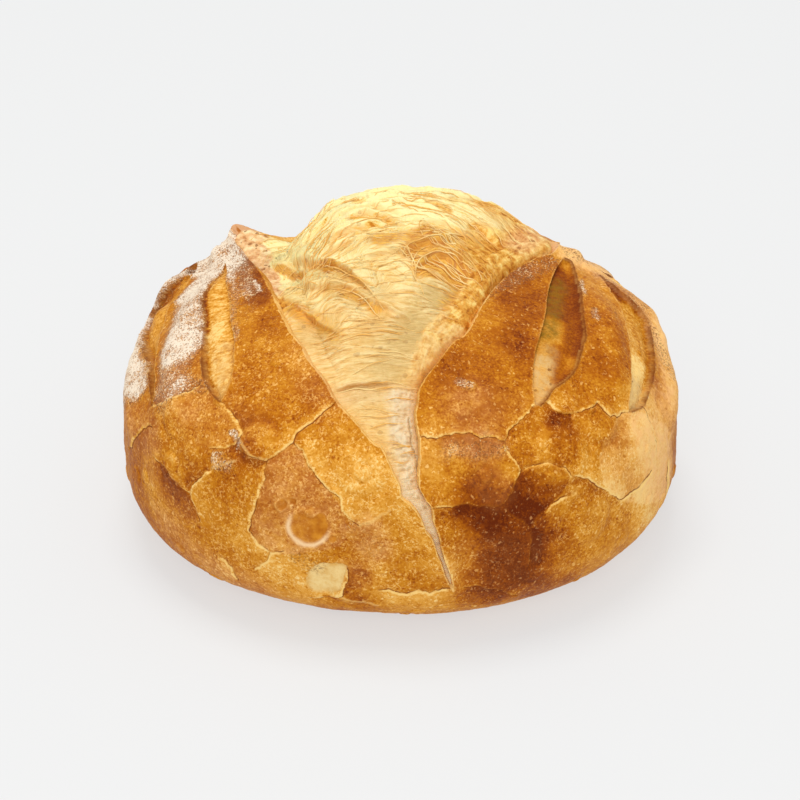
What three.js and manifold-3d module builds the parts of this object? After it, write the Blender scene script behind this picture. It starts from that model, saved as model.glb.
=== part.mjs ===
// A round hearth loaf of about a kilogram, one solid piece of bread.
// A crust shell has burst open along one deep central score. The crumb has risen through the gap in a
// tall arched mound, and the crust stands round it as two flaps. Each flap rises to a peak beside the
// mound, and shorter scores fan out from that peak over the loaf's shoulder.
// Millimetres, +Z up. The loaf stands on its flat underside, with the origin in the middle of it.
// -Y is the front, where the burst runs down to a point, and +X is the right-hand side.
import * as THREE from "three";
import { mergeVertices } from "three/addons/utils/BufferGeometryUtils.js";
import Module from "manifold-3d";

const wasm = await Module();
wasm.setup();

// ---- Driving dimensions ------------------------------------------------------------------------
const HALF_WIDTH = 124; // the widest ring, left to right
const HALF_DEPTH = 113.5; // the widest ring, front to back
const RING_HEIGHT = 39; // the widest ring stands this far above the hearth
const CROWN_RISE = 75.5; // from the ring to the top of the crust
const BELLY_DROP = 50; // how far the underside would sag below the ring if the hearth didn't flatten it
const PLAN_SQUARENESS = 2.2; // 2 is an ellipse seen from above, more is boxier
const CROWN_SQUARENESS = 2.75; // the same for the profile above the widest ring, seen from the side
const BELLY_SQUARENESS = 2.75; // and below it

const PEAKS = [
  { x: -61, y: 40, rise: 16, spread: 13 }, // the left flap's peak
  { x: 60, y: 30, rise: 6, spread: 16 }, // the right flap's peak
];
// Broad swells of the crust, and dips where the rise is negative.
const SWELLS = [
  { x: -102, y: 36, rise: 4.5, spread: 8 }, // the far left rib's shoulder
  { x: -87, y: 36, rise: -3.5, spread: 7 }, // the dip beside the left flap
  { x: -50, y: 77, rise: -7, spread: 20 }, // the back falls away behind the left flap
  { x: 103, y: 16, rise: 3.5, spread: 14 }, // the far right rib's shoulder
  { x: 88, y: 50, rise: -4, spread: 20 }, // the back falls away behind the right flap
  { x: -118, y: 2, rise: -2, spread: 14 }, // the left side is a little flatter
  { x: 119, y: 2, rise: -2.5, spread: 14 }, // and so is the right
];
const EAR_RISE = 2; // the crust curls up by this much along the burst
const EAR_SPREAD = 9; // and the curl fades over this distance
const SKIN_DEPTH = 5.5; // the crumb lies this far under the crust, so this is how deep the short scores go
const MOUND_FOOT = 0.14; // the mound leaves a valley beside the left flap, this share of the burst's width
const MOUND_CREST = 0.5; // and its crest runs this share of the way across
const MOUND_FULLNESS = 0.8; // under 1 gives the mound a broad back with steep sides
const CLING = 10; // the crumb follows the flaps' peaks up for about this far from their edges
const FOLD_RISE = 1.6; // the mound is drawn into soft folds across the burst, this high
const FOLD_STEPS = [13, 19]; // degrees of lean from one fold to the next, in the two runs that cross
const RIB_RISE = 3; // the strips of crust between the scores are drawn up into ribs, this high
const RIB_SPREAD = 8;
// The ribs run out near the flaps' tops: where, and over which distance.
const RIB_ENDS = [
  { x: -70, y: 28, spread: 18 },
  { x: 66, y: 22, spread: 20 },
];

// Places on the loaf are in degrees of lean: how far a line from the loaf's heart leans away from the
// vertical, split into its rightward (x) and backward (y) share. [0, 0] is straight up.
const BURST_LEFT = [
  [17, -93], [9, -80], [-1, -69], [-17, -50], [-28, -31], [-36, -10], [-41, 15], [-37, 34], [-25, 56],
  [-7, 79],
];
const BURST_RIGHT = [
  [17.6, -93], [11, -82], [5, -68], [4, -52], [15, -39], [30, -18], [38, 4], [42, 16], [38, 40], [22, 60],
  [-6, 79],
];
// Every edge runs from its front end to its back end.
const SCORES = [
  { left: [[-46.3, -41], [-50, -31], [-51.5, -18], [-50.7, -2], [-46.8, 14]],
    right: [[-45.6, -41], [-44.4, -34], [-44.9, -22], [-45.5, -6], [-46, 14]] },
  { left: [[-67.5, -26], [-67, -10], [-63.5, 0], [-57.5, 8], [-51, 14]],
    right: [[-66.6, -26], [-63.5, -15], [-60, -6], [-54, 3], [-50.4, 13.6]] },
  { left: [[38.6, -45.4], [35.5, -36], [39, -21], [41.7, -3], [43.8, 12]],
    right: [[39.4, -45], [46.8, -29], [49.2, -12], [47.6, 2], [44.6, 12]] },
  { left: [[61, -34], [60.2, -18], [59.5, -5], [55.8, 2.4], [50, 10]],
    right: [[61.8, -33], [68.8, -6], [66, 5], [58.5, 10], [50.4, 11]] },
  { left: [[-47.4, 23], [-54, 40], [-48, 62]], right: [[-46.6, 23.4], [-46, 42], [-47.2, 62.4]] },
  { left: [[-54, 20], [-70, 27], [-77, 43]], right: [[-54, 21], [-66, 33], [-76.4, 43.6]] },
  { left: [[46.8, 23.6], [45, 42], [46.4, 63]], right: [[47.6, 23], [54, 40], [47.4, 62.4]] },
  { left: [[55, 21.4], [66, 34], [75.6, 45]], right: [[55, 20.6], [70, 27], [76.4, 44.4]] },
];
// Each row: backward lean, height of the mound's back over the smooth dough, and how far its left and
// right edges sink below it.
const MOUND = [
  [-93, 0, 0.5, 0.8], [-80, -1, 1, 2.5], [-66, -2.5, 1.5, 6], [-50, -1, 2.5, 7], [-35, 5, 2.5, 3],
  [-15, 11, 2.5, 1.5], [5, 15.5, 2.5, 1.5], [25, 17.5, 2.5, 2], [45, 14, 3, 3], [64, 6, 4, 4], [80, 0, 2, 2],
];
// The lines that the ribs run along.
const RIBS = [
  [[-57, -34], [-57.5, -14], [-50, 7]],
  [[-74, -24], [-72, -4], [-66, 8]],
  [[55, -30], [54.5, -10], [48, 8]],
  [[74, -22], [73, -3], [67, 8]],
  [[-62, 48], [-60, 34], [-52, 22]],
  [[60, 50], [58, 36], [52, 23]],
];
// Hollows in the crumb: where, how deep, and how far they reach to the sides and to front and back.
const HOLLOWS = [
  { x: -30, y: 4, depth: 4, wide: 8, long: 5 },
  { x: -24, y: -14, depth: 3.5, wide: 6, long: 4.5 },
  { x: 16, y: -14, depth: 2.5, wide: 6, long: 16 },
  { x: 22, y: 14, depth: 2, wide: 10, long: 5 },
  { x: -28, y: 38, depth: 5, wide: 7, long: 16 },
];

const CRUST_DETAIL = 16; // facets along each edge of the icosahedron that the crust starts from
const CRUMB_DETAIL = 24;
const CROWN_BIAS = 0.28; // draws facets up from the underside to the crown, where the form is
const OUTSIDE = 190; // a radius beyond every surface
const INSIDE = 25; // a radius well inside the crumb
const FINEST = 0.25; // facets that stand out by less than this are merged

// ---- The smooth form ---------------------------------------------------------------------------
const HEART = new THREE.Vector3(0, 0, RING_HEIGHT);

/** The direction from the heart that leans x degrees to the right and y degrees to the back. */
function leaning(x, y) {
  const lean = THREE.MathUtils.degToRad(Math.hypot(x, y));
  const turn = Math.atan2(y, x);
  return new THREE.Vector3(Math.sin(lean) * Math.cos(turn), Math.sin(lean) * Math.sin(turn), Math.cos(lean));
}

/** The lean [x, y] in degrees of a direction. */
function leanOf(d) {
  const lean = THREE.MathUtils.radToDeg(Math.acos(THREE.MathUtils.clamp(d.z, -1, 1)));
  const flat = Math.hypot(d.x, d.y) || 1;
  return [(lean * d.x) / flat, (lean * d.y) / flat];
}

/** Distance from the heart to the loaf's smooth outer surface, before anything has opened or risen. */
function dough(d) {
  const flat = Math.hypot(d.x, d.y) || 1e-9;
  const plan =
    ((Math.abs(d.x / flat) / HALF_WIDTH) ** PLAN_SQUARENESS +
      (Math.abs(d.y / flat) / HALF_DEPTH) ** PLAN_SQUARENESS) ** (-1 / PLAN_SQUARENESS);
  const [upright, square] = d.z > 0 ? [CROWN_RISE, CROWN_SQUARENESS] : [BELLY_DROP, BELLY_SQUARENESS];
  return ((flat / plan) ** square + (Math.abs(d.z) / upright) ** square) ** (-1 / square);
}

/** How far the flaps' peaks and the swells lift the point p of the dough's surface. */
function peakRise(p) {
  if (p.z <= 0) return 0;
  return [...PEAKS, ...SWELLS].reduce(
    (sum, peak) => sum + peak.rise * Math.exp(-((Math.hypot(p.x - peak.x, p.y - peak.y) / peak.spread) ** 2)),
    0,
  );
}

const onDough = (x, y) => {
  const d = leaning(x, y);
  return d.multiplyScalar(dough(d));
};

/** Points [x, y] in degrees of lean, evenly spaced along the smooth curve through the given ones. */
function along(points, count) {
  const curve = new THREE.SplineCurve(points.map(([x, y]) => new THREE.Vector2(x, y)));
  return curve.getPoints(count).map((p) => [p.x, p.y]);
}

const EDGE_STEPS = 160;
const burstLeft = along(BURST_LEFT, EDGE_STEPS);
const burstRight = along(BURST_RIGHT, EDGE_STEPS);
const burstLeftPoints = burstLeft.map(([x, y]) => onDough(x, y));
const burstRightPoints = burstRight.map(([x, y]) => onDough(x, y));

const ribPoints = RIBS.flatMap((rib) => along(rib, 24).map(([x, y]) => onDough(x, y)));

const nearest = (p, points) => Math.min(...points.map((q) => q.distanceTo(p)));

/** True where the lean [x, y] lies inside the closed outline of two edges that meet at both ends. */
function between(x, y, left, right) {
  const ring = [...left, ...[...right].reverse()];
  let inside = false;
  for (let i = 0, j = ring.length - 1; i < ring.length; j = i++) {
    const [xi, yi] = ring[i];
    const [xj, yj] = ring[j];
    if (yi > y !== yj > y && x < ((xj - xi) * (y - yi)) / (yj - yi) + xi) inside = !inside;
  }
  return inside;
}

/** The mound's height and the sink of its two edges at a backward lean, from the table above. */
function moundAt(y) {
  const k = THREE.MathUtils.clamp(MOUND.findIndex((row) => row[0] > y), 1, MOUND.length - 1);
  const [a, b] = [MOUND[k - 1], MOUND[k]];
  const s = THREE.MathUtils.smoothstep(y, a[0], b[0]);
  return [1, 2, 3].map((column) => THREE.MathUtils.lerp(a[column], b[column], s));
}

/** The crust: the dough's surface with the flaps' peaks and ribs, curled up along the burst. */
function crustRadius(d) {
  const r = dough(d);
  if (d.z < -0.2) return r;
  const p = d.clone().multiplyScalar(r);
  const away = Math.min(nearest(p, burstLeftPoints), nearest(p, burstRightPoints));
  const fromEnd = Math.min(...RIB_ENDS.map((end) => Math.hypot(p.x - end.x, p.y - end.y) / end.spread));
  const height = RIB_RISE * THREE.MathUtils.smoothstep(fromEnd, 0.4, 1.6);
  const rib = height * Math.exp(-((nearest(p, ribPoints) / RIB_SPREAD) ** 2));
  return r + peakRise(p) + EAR_RISE * Math.exp(-away / EAR_SPREAD) + rib;
}

/** The crumb: a mound in the burst, and a skin just under the crust everywhere else. */
function crumbRadius(d) {
  const r = dough(d);
  const p = d.clone().multiplyScalar(r);
  const [x, y] = leanOf(d);
  const toLeft = nearest(p, burstLeftPoints);
  const toRight = nearest(p, burstRightPoints);
  const across = toLeft / (toLeft + toRight);
  const [height, sinkLeft, sinkRight] = moundAt(y);
  const sink = across < MOUND_CREST ? sinkLeft : sinkRight;
  if (!between(x, y, burstLeft, burstRight)) {
    const under = THREE.MathUtils.smoothstep(Math.min(toLeft, toRight), 0, CLING);
    return r + peakRise(p) - THREE.MathUtils.lerp(sink, SKIN_DEPTH, under);
  }
  const off =
    across < MOUND_CREST
      ? (MOUND_CREST - across) / (MOUND_CREST - MOUND_FOOT)
      : (across - MOUND_CREST) / (1 - MOUND_CREST);
  const back = Math.max(0, 1 - off ** 2) ** MOUND_FULLNESS;
  const cling = Math.exp(-((Math.min(toLeft, toRight) / CLING) ** 2));
  const [coarse, fine] = [FOLD_STEPS[1], FOLD_STEPS[0]].map((step) => (2 * Math.PI) / step);
  const fold = (Math.sin(fine * (y + (x / 9) ** 2)) + Math.sin(coarse * (y + 0.35 * x) + 1)) / 2;
  const folded = FOLD_RISE * fold * THREE.MathUtils.smoothstep(height, 0, 8) * (1 - cling);
  const hollow = HOLLOWS.reduce(
    (sum, h) => sum + h.depth * Math.exp(-(((x - h.x) / h.wide) ** 2) - ((y - h.y) / h.long) ** 2),
    0,
  );
  return r + peakRise(p) * cling - sink * (1 - back) + height * back + folded - hollow;
}

// ---- Solids ------------------------------------------------------------------------------------
/** A closed THREE geometry as a solid for joining and cutting. */
function solid(geometry) {
  const bare = geometry.clone();
  for (const name of ["normal", "uv"]) bare.deleteAttribute(name);
  const merged = mergeVertices(bare, 1e-4);
  return new wasm.Manifold(
    new wasm.Mesh({
      numProp: 3,
      vertProperties: merged.attributes.position.array,
      triVerts: new Uint32Array(merged.index.array),
    }),
  );
}

/** A solid whose surface lies at radiusOf(direction) from the heart, all the way round. */
function roundSolid(radiusOf, detail) {
  const ball = new THREE.IcosahedronGeometry(1, detail);
  const at = ball.attributes.position;
  const d = new THREE.Vector3();
  for (let i = 0; i < at.count; i++) {
    d.fromBufferAttribute(at, i);
    d.z += CROWN_BIAS;
    d.normalize();
    d.multiplyScalar(radiusOf(d)).add(HEART);
    at.setXYZ(i, d.x, d.y, d.z);
  }
  return solid(ball);
}

/** The wedge between two edges, from inside the crumb out through the crust. */
function wedge(left, right, rows, columns) {
  const l = along(left, rows);
  const r = along(right, rows);
  const positions = [];
  for (const radius of [INSIDE, OUTSIDE])
    for (let i = 0; i <= rows; i++)
      for (let j = 0; j <= columns; j++) {
        const s = j / columns;
        const x = THREE.MathUtils.lerp(l[i][0], r[i][0], s);
        const y = THREE.MathUtils.lerp(l[i][1], r[i][1], s);
        positions.push(...leaning(x, y).multiplyScalar(radius).add(HEART));
      }
  const layer = (rows + 1) * (columns + 1);
  const id = (k, i, j) => k * layer + i * (columns + 1) + j;
  const faces = [];
  const quad = (a, b, c, d) => faces.push(a, b, c, a, c, d);
  for (let i = 0; i < rows; i++)
    for (let j = 0; j < columns; j++) {
      quad(id(1, i, j), id(1, i, j + 1), id(1, i + 1, j + 1), id(1, i + 1, j));
      quad(id(0, i, j), id(0, i + 1, j), id(0, i + 1, j + 1), id(0, i, j + 1));
    }
  for (let i = 0; i < rows; i++) {
    quad(id(0, i, 0), id(1, i, 0), id(1, i + 1, 0), id(0, i + 1, 0));
    quad(id(0, i, columns), id(0, i + 1, columns), id(1, i + 1, columns), id(1, i, columns));
  }
  for (let j = 0; j < columns; j++) {
    quad(id(0, 0, j), id(0, 0, j + 1), id(1, 0, j + 1), id(1, 0, j));
    quad(id(0, rows, j), id(1, rows, j), id(1, rows, j + 1), id(0, rows, j + 1));
  }
  const geometry = new THREE.BufferGeometry();
  geometry.setAttribute("position", new THREE.Float32BufferAttribute(positions, 3));
  geometry.setIndex(faces);
  return solid(geometry);
}

const crumb = roundSolid(crumbRadius, CRUMB_DETAIL);
let crust = roundSolid(crustRadius, CRUST_DETAIL);
crust = crust.subtract(wedge(BURST_LEFT, BURST_RIGHT, 56, 6));
for (const score of SCORES) crust = crust.subtract(wedge(score.left, score.right, 12, 1));

const hearth = new THREE.BoxGeometry(4 * HALF_WIDTH, 4 * HALF_WIDTH, 100).translate(0, 0, -50);
const baked = crust.add(crumb).subtract(solid(hearth)).simplify(FINEST);

const mesh = baked.getMesh();
const surface = new THREE.BufferGeometry();
surface.setAttribute("position", new THREE.BufferAttribute(mesh.vertProperties, 3));
surface.setIndex(new THREE.BufferAttribute(mesh.triVerts, 1));
surface.computeVertexNormals();

const loaf = new THREE.Mesh(
  surface,
  new THREE.MeshStandardMaterial({ color: 0xc98a3a, roughness: 0.7, metalness: 0 }),
);
loaf.name = "loaf";

const bread = new THREE.Group();
bread.add(loaf);
export default bread;
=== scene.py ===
# %% [markdown]
# # A round sourdough loaf
# A hearth loaf is a ball of dough that was scored with a blade and baked hard. The crust browns, cracks and
# carries the flour of its proving basket, and the crumb bursts out through the deepest score. Everything
# below works in millimetres from the loaf's heart, and turns into metres when a mesh is written.

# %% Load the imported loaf
import math

import bpy
import numpy as np
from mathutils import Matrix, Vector, kdtree


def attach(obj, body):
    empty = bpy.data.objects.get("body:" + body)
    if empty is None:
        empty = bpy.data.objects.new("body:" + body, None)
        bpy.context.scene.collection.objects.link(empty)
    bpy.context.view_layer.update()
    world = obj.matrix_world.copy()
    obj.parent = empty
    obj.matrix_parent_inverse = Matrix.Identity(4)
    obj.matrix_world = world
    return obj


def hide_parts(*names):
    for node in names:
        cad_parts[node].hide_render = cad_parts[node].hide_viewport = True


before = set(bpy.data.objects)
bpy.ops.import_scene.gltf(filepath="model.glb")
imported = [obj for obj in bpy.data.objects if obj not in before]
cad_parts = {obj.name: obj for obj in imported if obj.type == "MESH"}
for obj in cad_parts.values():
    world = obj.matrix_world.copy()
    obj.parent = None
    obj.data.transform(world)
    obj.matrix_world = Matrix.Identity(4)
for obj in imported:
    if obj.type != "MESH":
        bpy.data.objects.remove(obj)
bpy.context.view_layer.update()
rng = np.random.default_rng(11)

# %% [markdown]
# ## The dough's own form
# Before it opens, the loaf is a squarish ball that sagged flat on the hearth. One formula gives the
# distance from its heart to its skin in any direction, so every relief below is simply added to it.

# %% Sizes of the dough
HALF_WIDTH = 124.0
HALF_DEPTH = 113.5
RING_HEIGHT = 39.0
CROWN_RISE = 75.5
BELLY_DROP = 50.0
PLAN_SQUARENESS = 2.2
CROWN_SQUARENESS = 2.75
BELLY_SQUARENESS = 2.75
# Each peak or swell: x, y, rise (a dip where it is negative) and spread. The first two are the flaps'
# peaks.
PEAKS = [
    (-61, 40, 15, 13), (60, 30, 6, 16), (-80, 37, 5.5, 6), (76, 33, 4, 6),
    (-102, 36, 4.5, 8), (-87, 36, -3.5, 7), (-50, 77, -7, 20),
    (103, 16, 3.5, 14), (88, 50, -4, 20), (-118, 2, -2, 14), (119, 2, -1.5, 14),
]
# The ribs run out near the flaps' tops: x, y and spread.
RIB_ENDS = [(-70, 28, 18), (66, 22, 20)]
HEART = np.array([0.0, 0.0, RING_HEIGHT])
# Over this many millimetres of skin, the direction from the heart leans by one degree more.
MM_PER_DEGREE = 1.9


def unit(v):
    return v / np.linalg.norm(v, axis=-1, keepdims=True)


def smooth(low, high, x):
    """A soft step from 0 at low to 1 at high."""
    t = np.clip((x - low) / (high - low), 0, 1)
    return t * t * (3 - 2 * t)


def bell(t, width):
    """A soft bump, 1 where t is 0."""
    return np.exp(-((t / width) ** 2))


def dough(d):
    """Distance in mm from the heart to the smooth skin, for unit directions d."""
    flat = np.hypot(d[:, 0], d[:, 1]) + 1e-9
    plan = (
        np.abs(d[:, 0] / flat / HALF_WIDTH) ** PLAN_SQUARENESS
        + np.abs(d[:, 1] / flat / HALF_DEPTH) ** PLAN_SQUARENESS
    ) ** (-1 / PLAN_SQUARENESS)
    up = d[:, 2] > 0
    rise = np.where(up, CROWN_RISE, BELLY_DROP)
    square = np.where(up, CROWN_SQUARENESS, BELLY_SQUARENESS)
    return ((flat / plan) ** square + (np.abs(d[:, 2]) / rise) ** square) ** (-1 / square)


def peak_rise(p):
    """How far the flaps' peaks lift the skin at points p."""
    lift = np.zeros(len(p))
    for x, y, rise, spread in PEAKS:
        away = np.hypot(p[:, 0] - x, p[:, 1] - y)
        lift += rise * bell(away, spread)
    return np.where(p[:, 2] > 0, lift, 0)


print("dough", 2 * HALF_WIDTH, "x", 2 * HALF_DEPTH, "x", RING_HEIGHT + CROWN_RISE, "mm")


# %% Leans: where a direction points, in degrees to the right and to the back of straight up
def leaning(x, y):
    lean = np.radians(np.hypot(x, y))
    turn = np.arctan2(y, x)
    return np.stack([np.sin(lean) * np.cos(turn), np.sin(lean) * np.sin(turn), np.cos(lean)], -1)


def lean_of(d):
    lean = np.degrees(np.arccos(np.clip(d[:, 2], -1, 1)))
    flat = np.hypot(d[:, 0], d[:, 1]) + 1e-9
    return lean * d[:, 0] / flat, lean * d[:, 1] / flat


def curve(points, count):
    """A smooth curve through the points, as count + 1 points evenly spaced in the points' own steps."""
    pts = np.asarray(points, float)
    t = np.linspace(0, len(pts) - 1, count + 1)
    i = np.minimum(t.astype(int), len(pts) - 2)
    f = (t - i)[:, None]
    p0, p1 = pts[np.maximum(i - 1, 0)], pts[i]
    p2, p3 = pts[i + 1], pts[np.minimum(i + 2, len(pts) - 1)]
    v0, v1 = (p2 - p0) / 2, (p3 - p1) / 2
    return ((2 * (p1 - p2) + v0 + v1) * f + (-3 * (p1 - p2) - 2 * v0 - v1)) * f * f + v0 * f + p1


# %% [markdown]
# ## Where the camera sees things
# The scores, cracks and flour are placed where they are seen from the front, in steps of the 800 x 800
# frame, and a ray from the camera carries each one onto the skin. The camera is set here for that reason.

# %% Camera
FRAME_SIZE = 800
# The camera looks at the target from this far, this many degrees over the table, and sees this width.
TARGET = np.array([0.0, 0.0, 51.1])
VIEW_DISTANCE = 1100.0
VIEW_LIFT = 32.0
VIEW_WIDTH = 360.0
# Rays are followed from this far in front of the target to this far behind it, in this many steps.
RAY_FRONT = 170
RAY_BACK = 150
RAY_STEPS = 800
lift = math.radians(VIEW_LIFT)
BACK = np.array([0, -math.cos(lift), math.sin(lift)])
RIGHT = np.array([1.0, 0, 0])
UP = np.array([0, math.sin(lift), math.cos(lift)])
EYE = TARGET + VIEW_DISTANCE * BACK


# %% Where a ray meets the skin
def flaps(d):
    """Distance in mm from the heart to the crust, with its peaks, for unit directions d."""
    r = dough(d)
    return r + peak_rise(d * r[:, None])


def on_dough(d):
    """The points of the smooth dough in these directions."""
    d = unit(d)
    return d * dough(d)[:, None]


def seen_at(places, skin=flaps):
    """Where rays through these frame places first meet a skin, carried down onto the smooth dough."""
    px = np.asarray(places, float).reshape(-1, 2)
    step = VIEW_WIDTH / FRAME_SIZE
    half = FRAME_SIZE / 2
    aim = TARGET + np.outer((px[:, 0] - half) * step, RIGHT) + np.outer((half - px[:, 1]) * step, UP)
    ray = unit(aim - EYE)
    far = np.linspace(VIEW_DISTANCE - RAY_FRONT, VIEW_DISTANCE + RAY_BACK, RAY_STEPS)
    p = EYE - HEART + ray[:, None] * far[None, :, None]
    flat = p.reshape(-1, 3)
    gap = (np.linalg.norm(flat, axis=1) - skin(unit(flat))).reshape(len(px), -1)
    under = gap < 0
    hit = np.where(under.any(1), under.argmax(1), gap.argmin(1))
    return on_dough(p[np.arange(len(p)), hit])


# %% Set the camera
SENSOR_WIDTH = 36
camera = bpy.data.objects.new("camera", bpy.data.cameras.new("camera"))
bpy.context.scene.collection.objects.link(camera)
camera.data.sensor_width = SENSOR_WIDTH
camera.data.lens = SENSOR_WIDTH * VIEW_DISTANCE / VIEW_WIDTH
camera.data.clip_end = 20
camera.location = Vector(EYE / 1000)
camera.rotation_euler = (math.radians(90 - VIEW_LIFT), 0, 0)
bpy.context.scene.camera = camera
print("camera at", tuple(round(v, 3) for v in camera.location))

# %% [markdown]
# ## Noise
# Nothing on a loaf is even. Gradient noise on a lattice of random slopes gives soft bumps of any size, the
# same each time, and a few sizes of it together make dough.

# %% Gradient noise
LATTICE = 48
slopes = unit(rng.normal(size=(LATTICE, LATTICE, LATTICE, 3))).astype(np.float32)


def noise(p, size, shift=0.0):
    """Soft noise from about -1 to 1 at points p, with bumps of this size in mm."""
    q = np.asarray(p, np.float32) / size + shift
    i = np.floor(q).astype(int)
    f = q - i
    w = f * f * f * (f * (f * 6 - 15) + 10)
    total = np.zeros(len(q), np.float32)
    for corner in range(8):
        o = np.array([corner & 1, corner >> 1 & 1, corner >> 2])
        k = (i + o) % LATTICE
        slope = slopes[k[:, 0], k[:, 1], k[:, 2]]
        weight = np.where(o, w, 1 - w).prod(1)
        total += weight * ((f - o) * slope).sum(1)
    return 1.6 * total


def ridges(p, size, shift=0.0):
    """Sharp-crested noise from 0 to 1."""
    return 1 - np.abs(noise(p, size, shift))


print("noise on a lattice of", LATTICE, "steps")

# %% [markdown]
# ## The burst and the scores
# The deep central score tore open from the front's foot to the back, and the shorter ones opened into leaf
# shapes. Each is an outline of two edges that meet at both ends. Torn crust is ragged, so the edges wander
# by half a millimetre.

# %% Outlines, as frame places where they are seen and as leans behind
BURST_LEFT_SEEN = [
    (452, 588), (446, 577), (441, 563), (437, 553), (432, 538), (425, 529), (420, 516), (412, 505),
    (402, 497), (400, 485), (394, 474), (388, 460), (383, 449), (374, 443), (364, 432), (353, 419),
    (341, 406), (331, 392), (325, 380), (312, 363), (302, 346), (289, 328), (280, 309), (270, 287),
    (262, 273), (250, 261), (238, 247), (231, 237),
]
BURST_LEFT_BEHIND = [(-42, 27), (-36, 41), (-24, 58), (-7, 79)]
BURST_RIGHT_SEEN = [
    (453, 588), (451, 577), (447, 566), (442, 551), (438, 533), (433, 520), (432, 508), (425, 498),
    (419, 485), (419, 472), (420, 459), (419, 439), (417, 429), (415, 413), (418, 404), (419, 390),
    (426, 378), (439, 361), (452, 344), (464, 336), (472, 324), (484, 302), (497, 286), (507, 277),
    (522, 267), (538, 259), (551, 255),
]
BURST_RIGHT_BEHIND = [(42, 24), (37, 42), (22, 60), (-6, 79)]
# Each score that is seen: its left and right edges, the depth under its left and right lips, how far its
# floor swells between them, how wide its left and right walls are, and how fibrous its floor is.
SCORES_SEEN = [
    ([(222, 402), (212, 393), (205, 378), (203, 350), (203, 325), (206, 300), (214, 281), (226, 262)],
     [(223, 402), (230, 386), (234, 365), (235, 340), (232, 315), (230, 290), (227, 263)],
     2.6, 0.6, 0.9, (0.6, 2.6), 1.0),
    ([(153, 405), (150, 385), (148, 365), (147, 341), (150, 313), (163, 289), (182, 274), (203, 265)],
     [(155, 405), (156, 370), (160, 341), (169, 313), (181, 295), (193, 278), (204, 266)],
     4.2, 0.9, 0.6, (0.9, 2.4), 0.7),
    ([(534, 406), (532, 390), (532, 376), (533, 361), (536, 346), (543, 320), (547, 297), (553, 273),
      (560, 261)],
     [(540, 406), (546, 399), (554, 389), (573, 374), (582, 346), (584, 331), (578, 297), (571, 268),
      (562, 261)],
     1.5, 3.0, 0.8, (1.0, 2.8), 0.15),
    ([(628, 413), (627, 404), (628, 383), (626, 343), (620, 312), (608, 292), (597, 276)],
     [(631, 412), (643, 404), (652, 377), (653, 361), (651, 343), (647, 326), (641, 313), (619, 292),
      (598, 276)],
     0.6, 2.6, 0.5, (0.9, 1.0), 0.8),
]
SCORES_BEHIND = [
    ([(-47.4, 23), (-54, 40), (-48, 62)], [(-46.6, 23.4), (-46, 42), (-47.2, 62.4)],
     4.5, 2.5, 0.8, (1.3, 2.4), 0.8),
    ([(-54, 20), (-70, 27), (-77, 43)], [(-54, 21), (-66, 33), (-76.4, 43.6)],
     3, 4.5, 0.8, (2.4, 1.3), 0.8),
    ([(46.8, 23.6), (45, 42), (46.4, 63)], [(47.6, 23), (54, 40), (47.4, 62.4)],
     2.5, 4.5, 0.8, (2.4, 1.3), 0.8),
    ([(55, 21.4), (66, 34), (75.6, 45)], [(55, 20.6), (70, 27), (76.4, 44.4)],
     4.5, 3, 0.8, (1.3, 2.4), 0.8),
]


# %% From frame places to edges on the skin
def seen_leans(places):
    return np.stack(lean_of(unit(seen_at(places))), 1)


def on_skin(leans):
    """The points of the smooth dough at these leans."""
    return on_dough(leaning(leans[:, 0], leans[:, 1]))


def torn(points, count, raggedness, seed):
    """A smooth edge in leans, made ragged, as leans and as points on the skin."""
    leans = curve(points, count)
    p = on_skin(leans)
    ends = smooth(0, 12, np.arange(count + 1)) * smooth(0, 12, count - np.arange(count + 1))
    wander = 0.6 * noise(p, 7, seed) + 0.35 * noise(p, 2.6, seed + 3) + 0.2 * noise(p, 1.1, seed + 5)
    leans[:, 0] += raggedness * wander * ends / MM_PER_DEGREE
    return leans, on_skin(leans)


def tree_of(points):
    tree = kdtree.KDTree(len(points))
    for i, p in enumerate(points):
        tree.insert(p, i)
    tree.balance()
    return tree


def nearest(tree, p):
    """Index of and distance to the nearest of a tree's points."""
    found = [tree.find(v)[1:] for v in p.tolist()]
    return np.array([f[0] for f in found], int), np.array([f[1] for f in found])


def inside(x, y, outline):
    """Whether the leans x, y lie in the closed outline."""
    hit = np.zeros(len(x), bool)
    for (xi, yi), (xj, yj) in zip(outline, np.roll(outline, 1, 0)):
        if yi != yj:
            hit ^= ((yi > y) != (yj > y)) & (x < (xj - xi) * (y - yi) / (yj - yi) + xi)
    return hit


def burst_side(seen, behind, seed):
    line = np.vstack([seen_leans(seen), behind])
    line[:, 1] = np.maximum.accumulate(line[:, 1])
    return torn(line, 3000, 0.5, seed)


# %% The burst and the scores on the skin
burst_left, burst_left_skin = burst_side(BURST_LEFT_SEEN, BURST_LEFT_BEHIND, 1)
burst_right, burst_right_skin = burst_side(BURST_RIGHT_SEEN, BURST_RIGHT_BEHIND, 2)
burst_outline = np.vstack([burst_left[::6], burst_right[::-6]])
left_tree = tree_of(burst_left_skin)
right_tree = tree_of(burst_right_skin)
outlined = [(seen_leans(s[0]), seen_leans(s[1]), *s[2:]) for s in SCORES_SEEN] + SCORES_BEHIND
scores = []
for k, (left, right, *depths) in enumerate(outlined):
    left, left_skin = torn(left, 400, 0.3, 10 + k)
    right, right_skin = torn(right, 400, 0.3, 30 + k)
    both = np.vstack([left_skin, right_skin])
    scores.append({"outline": np.vstack([left[::4], right[::-4]]), "skin": both, "tree": tree_of(both)})
    scores[-1] |= {"left": tree_of(left_skin), "right": tree_of(right_skin), "depths": depths}
print(len(scores), "scores and the burst outlined")

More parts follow.
